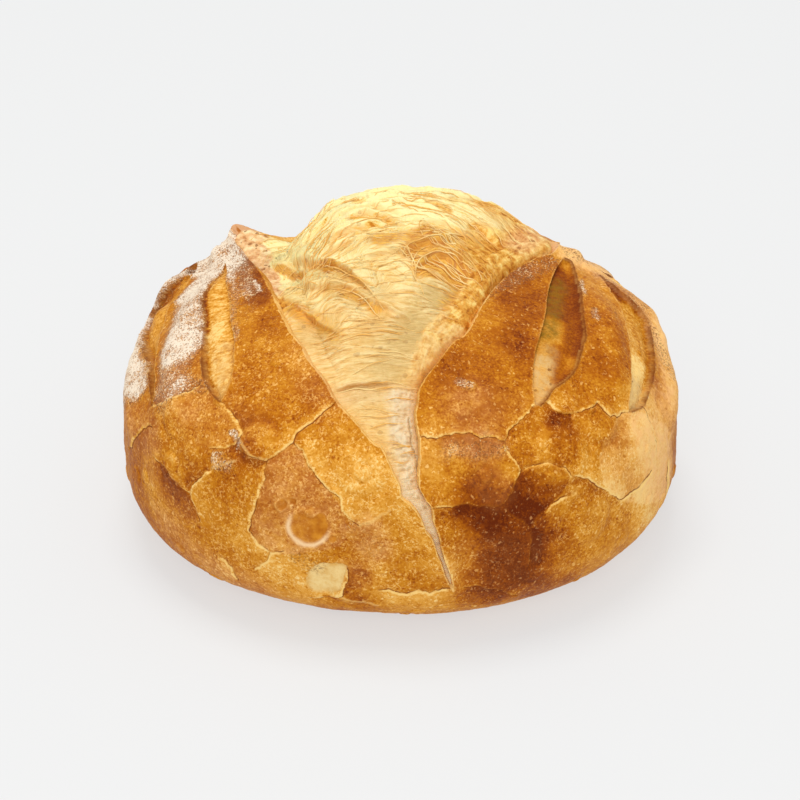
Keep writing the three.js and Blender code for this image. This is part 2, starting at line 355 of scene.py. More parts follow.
# %% [markdown]
# ## The mound in the burst
# Between its torn edges the crumb swelled up into a mound, high at the back and sunken in the front's tail.
# It could be sculpted, but a profile across the burst and a short table along it say the same in numbers
# that are easy to change.

# %% The mound's form
# Where the mound's left foot and its crest lie, from 0 at the burst's left edge to 1 at its right one.
MOUND_FOOT = 0.14
MOUND_CREST = 0.5
MOUND_FULLNESS = 0.8
# How many millimetres from the edges the crumb still follows the flaps' peaks.
CLING = 10.0
# Along the burst: lean to the back, rise of the crest, and depth at the mound's left and right feet.
MOUND = np.array([
    (-93, 0, 0.3, 0.5), (-80, -0.5, 0.6, 1.5), (-66, -2.5, 1.5, 6), (-50, -1, 1.8, 7),
    (-35, 5, 1.6, 3), (-15, 11, 1.5, 1.5), (5, 15.5, 2, 1.5), (25, 17.5, 2.5, 2),
    (45, 14, 3, 3), (64, 6, 4, 4), (80, 0, 2, 2),
])
# Hollows of the crumb: leans right and back, depth in mm, and width and length in degrees.
HOLLOWS = [
    (-30, 4, 4, 8, 5), (-24, -14, 3.5, 6, 4.5), (16, -14, 2.5, 6, 16), (22, 14, 2, 10, 5),
    (-28, 38, 5, 7, 16),
]


def mound_at(y):
    k = np.clip(np.searchsorted(MOUND[:, 0], y), 1, len(MOUND) - 1)
    a, b = MOUND[k - 1], MOUND[k]
    s = smooth(0, 1, (y - a[:, 0]) / (b[:, 0] - a[:, 0]))[:, None]
    return (a + (b - a) * s)[:, 1:].T


def crumb_radius(d, x, y, to_left, to_right):
    """Distance from the heart to the crumb inside the burst, before its folds and fibres."""
    across = to_left / (to_left + to_right + 1e-6)
    height, sink_left, sink_right = mound_at(y)
    reach = np.where(across < MOUND_CREST, MOUND_CREST - MOUND_FOOT, 1 - MOUND_CREST)
    off = (across - MOUND_CREST) / reach
    back = np.maximum(0, 1 - off**2) ** MOUND_FULLNESS
    sink = sink_right + (sink_left - sink_right) * smooth(0.62, 0.38, across)
    r = dough(d)
    lift = peak_rise(d * r[:, None]) * bell(np.minimum(to_left, to_right), CLING)
    radius = r + lift - sink * (1 - back) + height * back
    for hx, hy, depth, wide, long in HOLLOWS:
        radius -= depth * bell(np.hypot((x - hx) / wide, (y - hy) / long), 1)
    return radius


# %% The whole skin, with the mound, from a table of leans
table_x = np.linspace(-62, 62, 249)
table_y = np.linspace(-100, 84, 369)
table_at = np.stack(np.meshgrid(table_x, table_y, indexing="ij"), -1).reshape(-1, 2)
table_d = leaning(*table_at.T)
table_p = on_dough(table_d)
to_sides = [nearest(tree, table_p)[1] for tree in (left_tree, right_tree)]
table_gap = crumb_radius(table_d, *table_at.T, *to_sides) - flaps(table_d)
table_gap[~inside(*table_at.T, burst_outline)] = 0
table_gap = table_gap.reshape(len(table_x), len(table_y))


def whole(d):
    """Distance in mm from the heart to the loaf's skin, crust or crumb."""
    x, y = lean_of(d)
    i = np.clip((x - table_x[0]) / (table_x[1] - table_x[0]), 0, len(table_x) - 1.001)
    j = np.clip((y - table_y[0]) / (table_y[1] - table_y[0]), 0, len(table_y) - 1.001)
    a, b = i.astype(int), j.astype(int)
    u, v = i - a, j - b
    gap = (1 - u) * ((1 - v) * table_gap[a, b] + v * table_gap[a, b + 1])
    gap += u * ((1 - v) * table_gap[a + 1, b] + v * table_gap[a + 1, b + 1])
    return flaps(d) + gap


# %% [markdown]
# ## Cracks
# The crust dries before the crumb stops swelling, so it cracks into plates. The main cracks are polylines
# that were placed one by one, and on the hidden side they wander off at random. All of them become close
# rows of points, because the nearest one of many points is quick to find.

# %% Cracks, seen in the frame
CRACKS = [
    [(152, 406), (164, 404), (172, 400), (181, 396), (192, 391), (201, 384)],
    [(222, 402), (232, 412), (240, 424), (243, 433), (235, 446), (224, 449), (210, 449)],
    [(336, 403), (320, 415), (307, 427), (298, 433), (294, 443), (282, 452), (267, 461), (251, 456),
      (238, 447)],
    [(267, 461), (265, 481), (256, 506), (249, 530), (258, 541), (270, 552), (285, 550)],
    [(294, 443), (302, 452), (308, 466), (320, 482), (330, 492), (338, 498), (342, 510), (348, 519),
      (359, 525)],
    [(154, 457), (166, 470), (181, 490), (189, 495), (193, 506), (199, 522)],
    [(189, 495), (190, 487), (200, 477), (212, 468)],
    [(270, 552), (269, 558), (253, 569)],
    [(218, 555), (232, 568), (238, 581)],
    [(420, 437), (435, 437), (448, 435), (468, 433), (481, 439), (492, 437), (505, 442)],
    [(505, 442), (509, 432), (519, 421), (530, 410), (538, 403)],
    [(505, 442), (507, 449), (512, 456), (517, 461), (521, 472), (515, 487), (508, 497), (502, 506)],
    [(521, 472), (535, 466), (548, 462), (560, 466), (572, 476)],
    [(502, 506), (514, 514), (530, 527), (536, 516), (548, 506), (562, 498), (578, 489)],
    [(530, 527), (531, 545), (528, 566)],
    [(433, 507), (446, 505), (455, 507), (465, 506), (484, 507), (502, 506)],
    [(572, 476), (588, 480), (604, 490), (622, 500)],
    [(622, 500), (640, 488), (652, 470)],
    [(544, 402), (554, 409), (563, 415), (573, 415)],
    [(573, 413), (586, 411), (597, 404), (604, 411), (609, 417), (616, 418), (621, 414), (628, 412)],
    [(641, 407), (649, 420), (654, 437), (657, 452)],
    [(310, 598), (318, 598), (330, 598), (342, 595), (347, 586), (349, 574), (346, 567)],
    [(378, 590), (391, 589), (399, 592), (407, 592), (419, 588), (428, 590), (442, 586), (450, 586)],
    [(463, 586), (474, 585), (491, 589), (501, 590), (516, 595)],
    [(438, 548), (442, 557), (447, 570), (452, 586)],
]
PALE_CRACKS = [
    [(359, 525), (369, 521), (379, 515), (390, 509)],
    [(212, 468), (224, 464), (234, 461)],
    [(342, 596), (352, 600), (378, 604)],
    [(236, 432), (244, 446), (255, 456), (268, 459)],
]


def meander(p, seed):
    """A polyline on the skin as closely spaced points that wander about it."""
    seg = np.linalg.norm(np.diff(p, axis=0), axis=1)
    at = np.concatenate([[0], np.cumsum(seg)])
    t = np.arange(0, at[-1], 0.25)
    q = np.stack([np.interp(t, at, p[:, i]) for i in range(3)], 1)
    ends = smooth(0, 2, t) * smooth(0, 2, at[-1] - t)
    for size, reach in ((7, 0.7), (3, 0.6), (1.2, 0.3)):
        wander = np.stack([noise(q, size, seed + s) for s in (0.3, 5.7, 9.1)], 1)
        q += reach * wander * ends[:, None]
    return unit(q)


def wandering_crack(start, heading, steps, seed):
    """Corners of a crack that sets out from a lean and turns as it goes."""
    own = np.random.default_rng(seed)
    corners = [np.array(start, float)]
    for _ in range(steps):
        heading += own.normal(0, 0.55)
        corners.append(corners[-1] + 4.5 * np.array([math.cos(heading), math.sin(heading)]))
    return on_skin(np.array(corners))


# %% The cracks on the skin
CRACKS_TRIED_BEHIND = 46
cracks = [meander(seen_at(c), 0.1 * k) for k, c in enumerate(CRACKS)]
for k in range(CRACKS_TRIED_BEHIND):
    turn = rng.uniform(-0.25 * math.pi, 1.25 * math.pi)
    lean = rng.uniform(62, 106)
    start = (lean * math.cos(turn), lean * math.sin(turn))
    if start[1] > 0 or abs(start[0]) > 70:
        path = wandering_crack(start, rng.uniform(0, 2 * math.pi), int(rng.integers(3, 9)), 100 + k)
        cracks.append(meander(path, 0.1 * k))
pale = [meander(seen_at(c), 7 + 0.1 * k) for k, c in enumerate(PALE_CRACKS)]
crack_d = np.vstack(cracks)
crack_skin = crack_d * dough(crack_d)[:, None]
crack_tree = tree_of(crack_skin)
# One side of a crack stands a little higher than the other, and baked a little darker.
crack_side = np.vstack([unit(np.cross(q, np.gradient(q, axis=0))) for q in cracks])
crack_step = np.concatenate([
    rng.uniform(0.5, 1) * rng.choice((-1, 1)) * np.sin(np.linspace(0, math.pi, len(q))) ** 0.5
    for q in cracks
])
pale_d = np.vstack(pale)
pale_tree = tree_of(pale_d * dough(pale_d)[:, None])
print(len(cracks), "cracks")

# %% [markdown]
# ## The crust's relief
# Ribs stand between the scores, an ear curls up along the burst, the skin is lumpy and blistered, and each
# crack is a groove whose lips have lifted.

# %% Relief values
EAR_RISE = 2.0
EAR_SPREAD = 9.0
RIB_RISE = 3.0
RIB_SPREAD = 8.0
RIBS = [
    [(-57, -34), (-57.5, -14), (-50, 7)],
    [(-74, -24), (-72, -4), (-66, 8)],
    [(55, -30), (54.5, -10), (48, 8)],
    [(74, -22), (73, -3), (67, 8)],
    [(-62, 48), (-60, 34), (-52, 22)],
    [(60, 50), (58, 36), (52, 23)],
]
rib_xy = np.vstack([curve(r, 60) for r in RIBS])
rib_tree = tree_of(on_skin(rib_xy))
print(len(RIBS), "ribs along", len(rib_xy), "points")

# %% Blisters and plates, seen in the frame
# Blisters: place, radius and height in mm.
BLISTERS = [
    ((309, 524), 7.5, 0.7), ((258, 440), 8, 1.3), ((281, 505), 2.5, 0.6), ((333, 538), 2.6, 0.6),
    ((223, 462), 6, 0.5), ((469, 385), 3, 0.7), ((540, 395), 4, 0.6), ((466, 452), 9, 0.4),
    ((560, 455), 12, 0.9), ((600, 420), 9, 0.8), ((180, 420), 8, 0.6), ((360, 470), 10, 0.6),
    ((350, 590), 9, 0.8), ((590, 520), 11, 0.8), ((440, 560), 8, 0.6),
]
# Burst blisters: place, and radius along and up in mm.
DISCS = [((310, 525), 7.8, 7.4), ((283, 504), 2.2, 2.2), ((333, 538), 1.6, 1.5), ((294, 501), 1.5, 1.4)]
# Plates that flaked or browned unlike their neighbours: seen outline, and change of bake, blush and
# bareness.
PLATES = [
    ([(267, 462), (296, 444), (308, 466), (330, 492), (346, 518), (340, 545), (300, 552), (270, 552),
      (250, 532), (258, 500)], 0.0, 0.6, 0),
    ([(505, 490), (522, 472), (548, 463), (566, 472), (564, 490), (546, 508), (531, 526),
      (504, 507)], 0.5, 0, 0),
    ([(506, 442), (520, 420), (540, 404), (560, 412), (560, 464), (522, 470), (508, 450)], -0.12, 0, 0),
    ([(308, 573), (314, 566), (323, 563), (336, 563), (346, 567), (344, 578), (339, 589), (328, 593),
      (314, 591), (307, 583)], 0, 0, 1),
    ([(347, 574), (356, 569), (368, 572), (372, 584), (368, 598), (352, 600), (343, 592)], 0.42, 0, 0),
    ([(598, 456), (606, 436), (622, 412), (648, 416), (668, 432), (672, 470), (660, 500), (634, 504),
      (606, 489)], -0.25, 0.35, 0),
    ([(560, 412), (596, 405), (620, 414), (602, 440), (596, 478), (570, 474), (560, 464)], -0.1, 0, 0),
    ([(300, 434), (338, 404), (404, 490), (440, 560), (395, 520), (360, 524), (322, 482)], -0.22, 0, 0),
    ([(452, 441), (470, 437), (494, 441), (498, 452), (480, 457), (456, 455)], -0.05, 0.7, 0),
    ([(154, 458), (168, 471), (184, 492), (196, 508), (199, 522), (184, 524), (160, 498),
      (146, 470)], 0.16, 0.25, 0),
]

# %% Blisters and plates on the skin
SMALL_BLISTERS = 150
plates = []
for places, *effects in PLATES:
    ring = curve(seen_leans([*places, places[0]]), 12 * len(places))
    plates.append((ring, tree_of(on_skin(ring)), effects))
blister_at = [(seen_at([place])[0], size, high) for place, size, high in BLISTERS]
for k in range(SMALL_BLISTERS):
    turn = rng.uniform(0, 2 * math.pi)
    lean = rng.uniform(35, 108)
    place = on_skin(np.array([[lean * math.cos(turn), lean * math.sin(turn)]]))[0]
    blister_at.append((place, rng.uniform(1.2, 4.5), rng.uniform(0.15, 0.6)))
print(len(plates), "plates and", len(blister_at), "blisters placed")


# %% Sharp edges in an even grid
# Cells along each side of the crust's grids, and how many of them away a point moves onto an edge.
CRUST_CELLS = 290
SNAP = 0.72
FAR = 99.0
# How far down, as the height of a unit direction, the rims and the cracks are looked for.
RIM_LOW = -0.45
CRACK_LOW = -0.6


def snap_to(d, p, tree, points, reach, allowed):
    """Moves the directions that lie within reach of an edge onto it, and says which moved."""
    which = np.flatnonzero(allowed)
    i, away = nearest(tree, p[which])
    close = away < reach[which]
    moved = which[close]
    d[moved] = unit(points[i[close]])
    return moved


def in_box(x, y, ring, margin):
    """Whether the leans x, y lie in the box round a ring."""
    low, high = ring.min(0) - margin, ring.max(0) + margin
    return (x > low[0]) & (x < high[0]) & (y > low[1]) & (y < high[1])


def distances(p, tree, here):
    """How far the points picked by here are from a tree's nearest point. The others are far."""
    away = np.full(len(p), FAR)
    away[here] = nearest(tree, p[here])[1]
    return away


def snap_to_edges(d):
    """Moves directions onto the cracks and rims next to them, so that these stay sharp."""
    r = dough(d)
    p = d * r[:, None]
    step = SNAP * r * (math.pi / 2) / CRUST_CELLS
    x, y = lean_of(d)
    near_burst = (d[:, 2] > RIM_LOW) & (np.abs(x) < 60)
    cracked = snap_to(d, p, crack_tree, crack_skin, 0.8 * step, d[:, 2] > CRACK_LOW)
    burst_rim = np.zeros(len(d), bool)
    for tree, points in ((left_tree, burst_left_skin), (right_tree, burst_right_skin)):
        burst_rim[snap_to(d, p, tree, points, step, near_burst)] = True
    score_rim = np.zeros(len(d), bool)
    boxes = [in_box(x, y, s["outline"], 4) for s in scores]
    for s, box in zip(scores, boxes):
        score_rim[snap_to(d, p, s["tree"], s["skin"], step, box & ~burst_rim)] = True
    return near_burst, cracked, burst_rim, score_rim, boxes


# %% Blisters and flaked plates
def blister_height(p):
    """Small round domes, each in a shallow moat."""
    height = np.zeros(len(p))
    for at, size, high in blister_at:
        away = np.linalg.norm(p - at, axis=1)
        close = away < 2.5 * size
        t = away[close] / size
        height[close] += high * (1 - smooth(0.75, 1.15, t)) - 0.35 * high * bell(t - 1.25, 0.18)
    return height


def plate_masks(p, x, y):
    """How far the plates change the bake, the blush and the bareness."""
    change = np.zeros((3, len(p)))
    for ring, ring_tree, effects in plates:
        here = np.flatnonzero(in_box(x, y, ring, 2))
        if len(here):
            gap = nearest(ring_tree, p[here])[1] * np.where(inside(x[here], y[here], ring), 1, -1)
            on_plate = smooth(-0.4, 0.4, gap + 0.6 * noise(p[here], 3, 4))
            change[:, here] += np.outer(effects, on_plate)
    return change


def burst_blisters(p):
    """Burst blisters: a crisp golden disc with a pale crescent under it. The large one has a notch."""
    disc = np.zeros(len(p))
    crescent = np.zeros(len(p))
    height = np.zeros(len(p))
    for place, wide, tall in DISCS:
        gap = p - seen_at([place])[0]
        u, v = gap @ RIGHT, gap @ UP
        t = np.hypot(u / wide, v / tall) + 0.06 * noise(p, 4, 8)
        t[np.linalg.norm(gap, axis=1) > 20] = 9
        if wide > 7:
            t += 0.9 * bell(u - 1.2, 1.9) * smooth(1.5, 6.0, v)
        disc = np.maximum(disc, (1 - smooth(0.92, 1.0, t)) * (0.75 + 0.25 * smooth(-2, 4, u)))
        below = smooth(0.5, -0.5, (v + 0.5 * u) / tall)
        crescent = np.maximum(crescent, below * bell(t - 1.09, 0.11) * min(wide / 7, 1) ** 2)
        height += 0.3 * below * bell(t - 1.12, 0.14) - 0.7 * (1 - smooth(0.7, 1.0, t))
    return disc, crescent, height


# %% Cracks in the crust
def crack_relief(d, p, cracked):
    """Cracks: a groove with lifted lips, the distance to it, and which of its sides stands higher."""
    here = d[:, 2] > CRACK_LOW
    i, away = nearest(crack_tree, p[here])
    to_crack = np.full(len(p), FAR)
    to_crack[here] = away
    to_crack[cracked] = 0
    side = np.zeros(len(p))
    side[here] = crack_step[i] * np.sign(((p[here] - crack_skin[i]) * crack_side[i]).sum(1))
    side[cracked] = 0
    wide = 0.45 + 0.3 * noise(p, 12, 2)
    deep = 0.4 + 0.5 * noise(p, 14, 6)
    groove = -deep * bell(to_crack, np.maximum(wide, 0.3))
    groove += 0.45 * side * np.exp(-to_crack / 5) + 0.12 * bell(to_crack - 1.4, 0.9)
    to_pale = distances(p, pale_tree, here)
    return groove + 0.3 * bell(to_pale, 1.0), to_crack, to_pale, side


# %% The scores' floors
def score_floors(p, x, y, boxes, on_rim, score_rim):
    """The scores' floors, which lie under their lips: how far they sink, and their masks."""
    sink = np.zeros(len(p))
    to_score = np.full(len(p), FAR)
    masks = {key: np.zeros(len(p)) for key in ("floor", "fibrous", "to_lip", "lip_shade")}
    for s, box in zip(scores, boxes):
        here = np.flatnonzero(box)
        to_left, to_right = nearest(s["left"], p[here])[1], nearest(s["right"], p[here])[1]
        to_score[here] = np.minimum(to_score[here], np.minimum(to_left, to_right))
        open_here = inside(x[here], y[here], s["outline"]) & ~on_rim[here]
        mine, l, r = here[open_here], to_left[open_here], to_right[open_here]
        across = l / (l + r)
        deep_left, deep_right, swell, walls, fibrous = s["depths"]
        depth = deep_left + (deep_right - deep_left) * across - swell * 4 * across * (1 - across)
        depth = depth * smooth(0, walls[0], l) * smooth(0, walls[1], r)
        strands = fibrous * 0.3 * ridges(p[mine] * np.array([0.25, 1, 1]), 2.2, 11)
        strands += 0.15 * noise(p[mine], 3.5, 12)
        sink[mine] += (depth - strands) * smooth(0, 5, l + r) + 0.25
        masks["floor"][mine] = 1
        masks["fibrous"][mine] = fibrous
        masks["to_lip"][mine] = np.minimum(l, r)
    for s, box in zip(scores, boxes):
        deep_side = "left" if s["depths"][0] > s["depths"][1] else "right"
        here = np.flatnonzero(box & ((masks["floor"] > 0) | score_rim))
        shade = bell(nearest(s[deep_side], p[here])[1], 0.8)
        masks["lip_shade"][here] = np.maximum(masks["lip_shade"][here], shade)
    to_score[score_rim] = 0
    return sink, to_score, masks


# %% The whole crust
LIP_RISE = 0.5
LIP_SPREAD = 2.5
# How far the crust lies under the crumb: at the burst's edges, and what is added further in.
UNDER_EDGE = 2.5
UNDER_MIDDLE = 7.5
PLATE_DEPTH = 1.2
HEARTH_POWER = 16.0


def on_hearth(d, radius):
    """The hearth flattens the underside and leaves a rounded foot."""
    down = np.maximum(-d[:, 2], 1e-6)
    hearth = np.where(d[:, 2] < -0.02, RING_HEIGHT / down, 1e4)
    return (radius**-HEARTH_POWER + hearth**-HEARTH_POWER) ** (-1 / HEARTH_POWER)


def crust_shape(d):
    """Places in mm from the heart for the crust's directions d, and the masks that its material reads."""
    near_burst, cracked, burst_rim, score_rim, boxes = snap_to_edges(d)
    r = dough(d)
    p = d * r[:, None]
    x, y = lean_of(d)
    in_burst = near_burst & inside(x, y, burst_outline) & ~burst_rim
    to_left = distances(p, left_tree, near_burst)
    to_right = distances(p, right_tree, near_burst)
    to_burst = np.where(burst_rim, 0, np.minimum(to_left, to_right))
    from_end = np.min([np.hypot(p[:, 0] - q[0], p[:, 1] - q[1]) / q[2] for q in RIB_ENDS], 0)
    to_rib = distances(p, rib_tree, d[:, 2] > RIM_LOW)
    rib = RIB_RISE * bell(to_rib, RIB_SPREAD) * smooth(0.4, 1.6, from_end)
    radius = r + peak_rise(p) + EAR_RISE * np.exp(-to_burst / EAR_SPREAD) + rib

    # Lumps, wrinkles, blisters and cracks of the skin
    lumps = 1.0 * noise(p, 40) + 0.55 * noise(p, 17, 3) + 0.25 * noise(p, 7, 5) + 0.14 * noise(p, 3.2, 7)
    disc, crescent, disc_height = burst_blisters(p)
    fine = 0.09 * noise(p, 1.7, 9) + 0.05 * ridges(p, 2.4, 10) + blister_height(p) + disc_height
    plate_bake, plate_blush, bare = plate_masks(p, x, y)
    groove, to_crack, to_pale, side = crack_relief(d, p, cracked)
    sink, to_score, masks = score_floors(p, x, y, boxes, score_rim | burst_rim, score_rim)
    lip = np.exp(-to_score / LIP_SPREAD) * (1 - masks["floor"]) * (d[:, 2] > -0.3)
    radius = radius + lumps + fine + groove - PLATE_DEPTH * bare - sink + LIP_RISE * lip

    # The crust goes on under the crumb, out of sight
    b = np.flatnonzero(in_burst)
    under = crumb_radius(d[b], x[b], y[b], to_left[b], to_right[b])
    radius[b] = np.minimum(radius[b], under) - UNDER_MIDDLE * smooth(0, 1.6, to_burst[b]) - UNDER_EDGE
    masks |= {
        "burst_edge": np.where(in_burst, 0, np.clip(to_burst, 0, 20)),
        "score_edge": np.where(masks["floor"] > 0, 0, np.clip(to_score, 0, 20)),
        "crack": np.clip(to_crack, 0, 10),
        "tint": side * np.exp(-to_crack / 6),
        "pale_crack": np.clip(to_pale, 0, 10),
        "bare": bare,
        "plate_bake": plate_bake,
        "plate_blush": plate_blush,
        "disc": disc,
        "crescent": crescent,
        "relief": lumps * 0.3 + fine * 2,
    }
    return d * on_hearth(d, radius)[:, None], p, masks


# %% [markdown]
# ## How each place was baked
# The oven paints a loaf: tips and lips go dark, hollows stay golden, and flour stays white where the basket
# left it. Each patch is a soft capsule between two places on the skin.

# %% Patches of flour, blush and bake, seen in the frame, with painted rim light at the edges
FLOUR = [
    ((222, 252), (198, 290), 8, 1.2), ((198, 290), (184, 345), 9.5, 0.85),
    ((184, 345), (170, 388), 10, 0.55), ((216, 248), (160, 296), 7, 1.2), ((160, 294), (140, 345), 7, 1.2),
    ((142, 335), (140, 385), 7, 0.95), ((136, 340), (129, 400), 7, 0.65), ((230, 245), (238, 262), 6, 0.5),
    ((238, 262), (248, 290), 6, 0.3), ((221, 251), (203, 262), 5, 1.0), ((246, 292), (246, 318), 4, 0.15),
    ((232, 270), (235, 340), 2.4, 0.45), ((186, 385), (206, 386), 4, 0.35),
    ((252, 274), (260, 300), 7, 0.14), ((246, 232), (280, 240), 6, 0.4), ((470, 300), (548, 264), 6, 0.36),
    ((458, 382), (468, 386), 2.0, 0.5), ((590, 312), (593, 320), 1.4, 0.6),
    ((610, 316), (612, 320), 1.2, 0.6), ((578, 283), (580, 296), 1.5, 0.6),
    ((570, 252), (600, 274), 7, 0.35), ((606, 280), (640, 304), 7, 0.3), ((452, 450), (496, 448), 5, 0.3),
    ((216, 460), (226, 466), 3.5, 0.5), ((648, 330), (668, 380), 5, 0.3), ((300, 556), (316, 566), 5, 0.25),
    ((358, 528), (374, 548), 5, 0.18), ((258, 283), (262, 292), 1.2, 0.5), ((232, 434), (238, 444), 2, 0.7),
]
# Blush. The patches along the far left and right edges are painted rim light.
BLUSH_AND_RIM_LIGHT = [
    ((322, 350), (335, 385), 12, 0.3), ((236, 226), (280, 234), 14, 1.0), ((130, 330), (126, 400), 8, 0.7),
    ((128, 370), (150, 440), 8, 0.6), ((165, 525), (255, 588), 9, 0.55), ((466, 400), (478, 425), 9, 0.4),
    ((454, 448), (496, 446), 5, 0.75), ((486, 480), (496, 492), 7, 0.35), ((660, 400), (664, 480), 9, 0.8),
    ((606, 280), (650, 330), 8, 0.8), ((186, 350), (190, 400), 10, 0.3), ((200, 420), (240, 430), 10, 0.25),
    ((364, 530), (376, 548), 7, 0.6), ((350, 570), (360, 575), 6, 0.4), ((640, 420), (656, 480), 9, 0.5),
    ((570, 252), (600, 275), 10, 1.0), ((655, 330), (665, 390), 6, 0.8),
]
# Bake, where a negative strength pales. The pale patches along the right edge are painted rim light.
BAKE_AND_RIM_LIGHT = [
    ((514, 560), (520, 528), 12, 0.7), ((512, 514), (474, 498), 9, 0.6), ((486, 528), (500, 570), 13, 0.3),
    ((248, 447), (262, 449), 2.6, 0.6), ((256, 230), (276, 234), 2.2, 1.6),
    ((240, 255), (262, 296), 7, 0.45), ((230, 240), (246, 262), 6, 0.3), ((548, 540), (530, 575), 9, 0.3),
    ((560, 420), (566, 452), 6, 0.6), ((512, 280), (532, 352), 10, 0.28), ((450, 390), (510, 360), 20, 0.3),
    ((166, 472), (182, 500), 6, 0.45), ((326, 596), (342, 598), 1.3, 1.0), ((500, 272), (545, 262), 6, 0.3),
    ((254, 300), (276, 332), 6, 0.3), ((590, 375), (606, 432), 11, 0.3), ((510, 300), (530, 290), 9, 0.25),
    ((570, 252), (600, 275), 10, -0.8), ((264, 370), (300, 410), 12, 0.28),
    ((460, 430), (480, 470), 8, 0.15), ((150, 470), (156, 510), 8, -0.3), ((146, 440), (176, 425), 9, 0.15),
    ((480, 590), (560, 584), 9, 0.5), ((380, 520), (330, 440), 17, -0.15),
    ((430, 470), (438, 410), 8, -0.2), ((590, 520), (624, 480), 14, -0.05),
    ((380, 592), (330, 585), 9, -0.1), ((310, 524), (312, 528), 6, 0.2), ((600, 330), (620, 400), 10, 0.2),
    ((540, 500), (500, 540), 20, 0.12), ((238, 500), (200, 440), 14, -0.02),
    ((600, 545), (640, 520), 12, -0.25), ((280, 350), (300, 400), 14, -0.05),
    ((270, 300), (256, 280), 5, 0.12), ((380, 490), (400, 540), 10, -0.1),
    ((640, 410), (656, 500), 15, -0.7), ((625, 288), (655, 336), 8, -0.6),
    ((658, 330), (668, 400), 8, -0.6), ((290, 560), (310, 595), 14, -0.3),
    ((460, 400), (474, 400), 5, -0.2), ((500, 398), (506, 402), 6, 0.12),
    ((564, 480), (600, 470), 12, -0.15), ((240, 560), (380, 580), 14, -0.15),
    ((606, 500), (616, 500), 7, -0.3), ((420, 400), (440, 430), 8, -0.05),
]
SPECKS = [
    ((180, 440), (260, 520), 26, 0.3), ((340, 440), (400, 540), 20, 0.45),
    ((230, 560), (380, 560), 14, 0.45), ((430, 540), (470, 570), 16, 0.2),
    ((560, 430), (620, 470), 24, 0.2), ((280, 360), (300, 420), 18, 0.25),
    ((600, 500), (560, 560), 18, 0.2),
]
# Darker or paler score floors. The dark patches under the scores' deep lips are painted shade.
SCORE_BAKE_AND_SHADE = [
    ((575, 290), (576, 350), 4.5, 0.9), ((640, 365), (634, 400), 6, -0.8),
    ((541, 362), (540, 396), 4, -0.2), ((207, 290), (203, 330), 2.2, 0.9), ((190, 272), (160, 305), 6, 0.7),
    ((558, 276), (558, 308), 7, 1.2), ((606, 284), (622, 298), 3, 0.8), ((560, 350), (564, 380), 4, 0.65),
    ((222, 276), (214, 330), 6, -0.35), ((214, 330), (220, 388), 6, -0.45),
    ((628, 330), (632, 380), 5, -0.25),
]
CREAM = [
    ((543, 362), (541, 398), 5, 0.8), ((552, 350), (548, 380), 4, 0.4), ((637, 385), (634, 402), 5, 0.9),
    ((222, 350), (224, 396), 5, 0.5),
]
OLIVE = [((556, 284), (548, 330), 5.5, 0.8), ((548, 330), (543, 356), 5, 0.4)]
print(len(FLOUR), "flour,", len(BLUSH_AND_RIM_LIGHT), "blush and", len(BAKE_AND_RIM_LIGHT), "bake patches")


# %% How patches become masks
def capsules(p, patches, skin=flaps):
    """How strongly each point of the skin lies in these patches."""
    total = np.zeros(len(p))
    ends = seen_at([place for patch in patches for place in patch[:2]], skin).reshape(-1, 2, 3)
    for (a, b), (_, _, size, strength) in zip(ends, patches):
        t = np.clip(((p - a) @ (b - a)) / max((b - a) @ (b - a), 1e-6), 0, 1)
        away = np.linalg.norm(p - a - t[:, None] * (b - a), axis=1)
        total += strength * (1 - smooth(0.45, 1.6, away / size))
    return total


def oven(d, p, masks):
    """The flour, blush and bake masks of the crust. Blush and pale bake at the far edges are painted rim
    light.
    """
    hidden = smooth(0, 60, p[:, 1])
    rough = 0.5 * noise(p, 9, 21) + 0.35 * noise(p, 4, 22) + 0.2 * noise(p, 1.8, 28)
    flour = capsules(p + 2.5 * rough[:, None], FLOUR)
    flour += 0.8 * hidden * smooth(0.1, 0.7, noise(p, 34, 23) + 0.25 * rough) * smooth(0.2, 0.6, d[:, 2])
    blush = capsules(p + 3 * rough[:, None], BLUSH_AND_RIM_LIGHT) + masks.pop("plate_blush")
    blush += 0.7 * smooth(0.15, 0.6, noise(p, 42, 24)) * np.maximum(hidden, 0.25)
    bake = capsules(p + 4 * rough[:, None], BAKE_AND_RIM_LIGHT) + masks.pop("plate_bake")
    bake += (0.2 + 0.4 * hidden) * noise(p, 36, 25) + 0.12 * noise(p, 13, 26) + 0.12 * noise(p, 5, 29)
    bake += 0.5 * smooth(-0.3, -0.42, d[:, 2])
    specked = 0.3 + capsules(p + 3 * rough[:, None], SPECKS) + 0.15 * noise(p, 20, 27)
    masks["specks"] = np.clip(specked, 0, 0.9)
    # The score floors' bake, with painted shade under the deep lips.
    masks["score_bake"] = np.clip(capsules(p, SCORE_BAKE_AND_SHADE), -1, 1)
    masks["olive"] = np.clip(capsules(p + rough[:, None], OLIVE), 0, 1)
    masks["cream"] = np.clip(capsules(p + rough[:, None], CREAM), 0, 1)
    masks["flour"] = np.clip(flour, 0, 1)
    masks["blush"] = np.clip(blush, 0, 1)
    masks["bake"] = np.clip(bake, -1, 1)
    return masks


# %% [markdown]
# ## From numbers to a mesh
# Each piece starts as a flat grid, whose points are then moved to their places and given their masks. Its
# rim is drawn in to one point inside the loaf, so that it is a closed solid and not a sheet.

# %% Mesh helpers
# Free room round each piece's own map, as a share of it. The closing faces lie there.
UV_MARGIN = 0.02
# How far from the heart a piece's inner point lies, as a share of the way to its sheet.
APEX_REACH = 0.2


def read(items, key, width=1):
    """All values of a mesh's points, faces or corners as one array."""
    values = np.empty(len(items) * width, np.float32 if width > 1 else np.int32)
    items.foreach_get(key, values)
    return values.reshape(-1, width) if width > 1 else values


